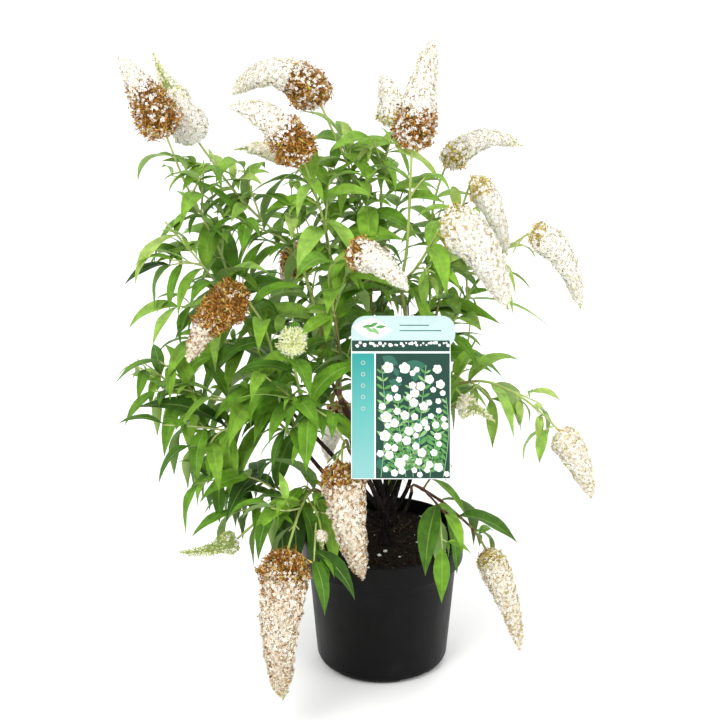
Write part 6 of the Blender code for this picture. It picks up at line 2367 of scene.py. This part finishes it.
    def add_blossom(self, x, y, size, top):
        """A round blossom of five petals over its own shade, with a yellow middle."""
        shade = disc(x + size * SHADE_DROP, y - size * SHADE_DROP, size * SHADE_SIZE, PETAL_SIDES)
        self.sheet(shade, top, "shade")
        for k in range(PETALS):
            turn = math.tau * k / PETALS + x * PETAL_TURN
            petal_x = x + size * PETAL_OUT * math.cos(turn)
            petal_y = y + size * PETAL_OUT * math.sin(turn)
            petal = disc(petal_x, petal_y, size * PETAL_SIZE, PETAL_SIDES)
            self.sheet(petal, top + PRINT_THICKNESS + k * PETAL_STEP, "white")
        self.sheet(disc(x, y, size * EYE_SIZE, EYE_SIDES), top + PRINT_THICKNESS * 2, "yellow")


def make_loop(material):
    """The label's loop: a flat band from the back of its header, round the bough behind it."""
    front = label_place() @ Vector((0, -LOOP_DROP, -HEADER_THICKNESS))
    line = bough_line(BOUGHS[LOOP_BOUGH])
    a, b = next((a, b) for a, b in zip(line, line[1:]) if b.z >= front.z)
    round_bough = a.lerp(b, (front.z - a.z) / (b.z - a.z))
    inner = BOUGHS[LOOP_BOUGH].radius * LOOP_BOUGH_TAPER + LOOP_SLACK
    section = []
    for centre_y, first in ((round_bough.y, 0), (front.y + inner, 180)):
        section += [(right, up, centre_y) for right, up in arc(0, 0, 1, first, first + 180, LOOP_STEPS)]
    points = []
    for right, up, centre_y in section:
        for reach, rise in ((inner, 1), (inner, -1), (inner + LOOP_WALL, -1), (inner + LOOP_WALL, 1)):
            z = front.z + rise * LOOP_HEIGHT / 2
            points.append((round_bough.x + reach * right, centre_y + reach * up, z))
    count, faces = len(section), []
    for i in range(count):
        after = (i + 1) % count
        for k in range(4):
            near = (k + 1) % 4
            quad = (4 * i + near, 4 * i + k, 4 * after + k, 4 * after + near)
            faces += [(quad[0], quad[1], quad[2]), (quad[0], quad[2], quad[3])]
    band = Heap()
    band.add(np.array(points), np.array(faces), 0)
    band.piece("label_loop", [material], "label", sharp=40)


def make_label():
    """A printed card under a header strip, with a plain garden pattern of blossoms and leaves."""
    inks = {ink: band_material(*row) if ink == "band" else glossy(*row) for ink, row in INKS.items()}
    materials = list(inks.values())
    board = Plates()
    card_top = -(HEADER_THICKNESS - CARD_THICKNESS) / 2
    card = rounded_rectangle(CARD_LEFT, -HEADER_HEIGHT / 2, CARD_RIGHT, -CARD_HEIGHT, (CARD_CORNER,) * 4)
    board.add(card, card_top, CARD_THICKNESS, "card", CARD_BEVEL)
    header_corners = (HEADER_LEFT_TOP, HEADER_LEFT_FOOT, HEADER_RIGHT_END, HEADER_RIGHT_END)
    header = rounded_rectangle(CARD_LEFT, 0, HEADER_RIGHT, -HEADER_HEIGHT, header_corners)
    board.add(header, 0, HEADER_THICKNESS, "header", HEADER_BEVEL)
    board.piece("label_card", materials, ["label"])
    Print(card_top).piece("label_print", materials)
    make_loop(inks["card"])


# The studio

def make_floor():
    """A plain pale floor, just under the pot."""
    ends = ((-1, -1), (1, -1), (1, 1), (-1, 1))
    corners = [(x * FLOOR_REACH, y * FLOOR_REACH, -FLOOR_DROP) for x, y in ends]
    floor = plain_object("studio_floor", corners, [(0, 1, 2, 3)])
    floor.data.materials.append(shader_of("studio_floor", FLOOR_COLOUR, 0.90)[0])
    bpy.context.scene.collection.objects.link(floor)


def make_light():
    """White light from all round, and three round lamps that aim at the bush's middle."""
    world = bpy.data.worlds.new("studio")
    bpy.context.scene.world = world
    world.use_nodes = True
    background = world.node_tree.nodes["Background"]
    background.inputs["Color"].default_value = (1.0, 1.0, 1.0, 1)
    background.inputs["Strength"].default_value = 1.0
    for name, place, size, power in LIGHTS:
        lamp = bpy.data.lights.new(name, "AREA")
        lamp.shape = "DISK"
        lamp.size = size
        lamp.energy = power
        light = bpy.data.objects.new(name, lamp)
        light.location = place
        light.rotation_euler = (LIGHTS_AIM - Vector(place)).to_track_quat("-Z", "Y").to_euler()
        bpy.context.scene.collection.objects.link(light)


def make_camera():
    """The camera that the photograph's view was fitted with."""
    lens = bpy.data.cameras.new("camera")
    lens.lens = LENS_MM
    lens.clip_end = FAR_CLIP
    camera = bpy.data.objects.new("camera", lens)
    camera.location = CAMERA_PLACE
    camera.rotation_euler = (math.pi / 2 - SIGHT_FALL, 0, 0)
    bpy.context.scene.collection.objects.link(camera)
    bpy.context.scene.camera = camera
    bpy.context.scene.view_settings.view_transform = "Standard"


make_floor()
make_light()
make_camera()
make_pot()
make_soil()
make_wood()
make_crown()
make_label()
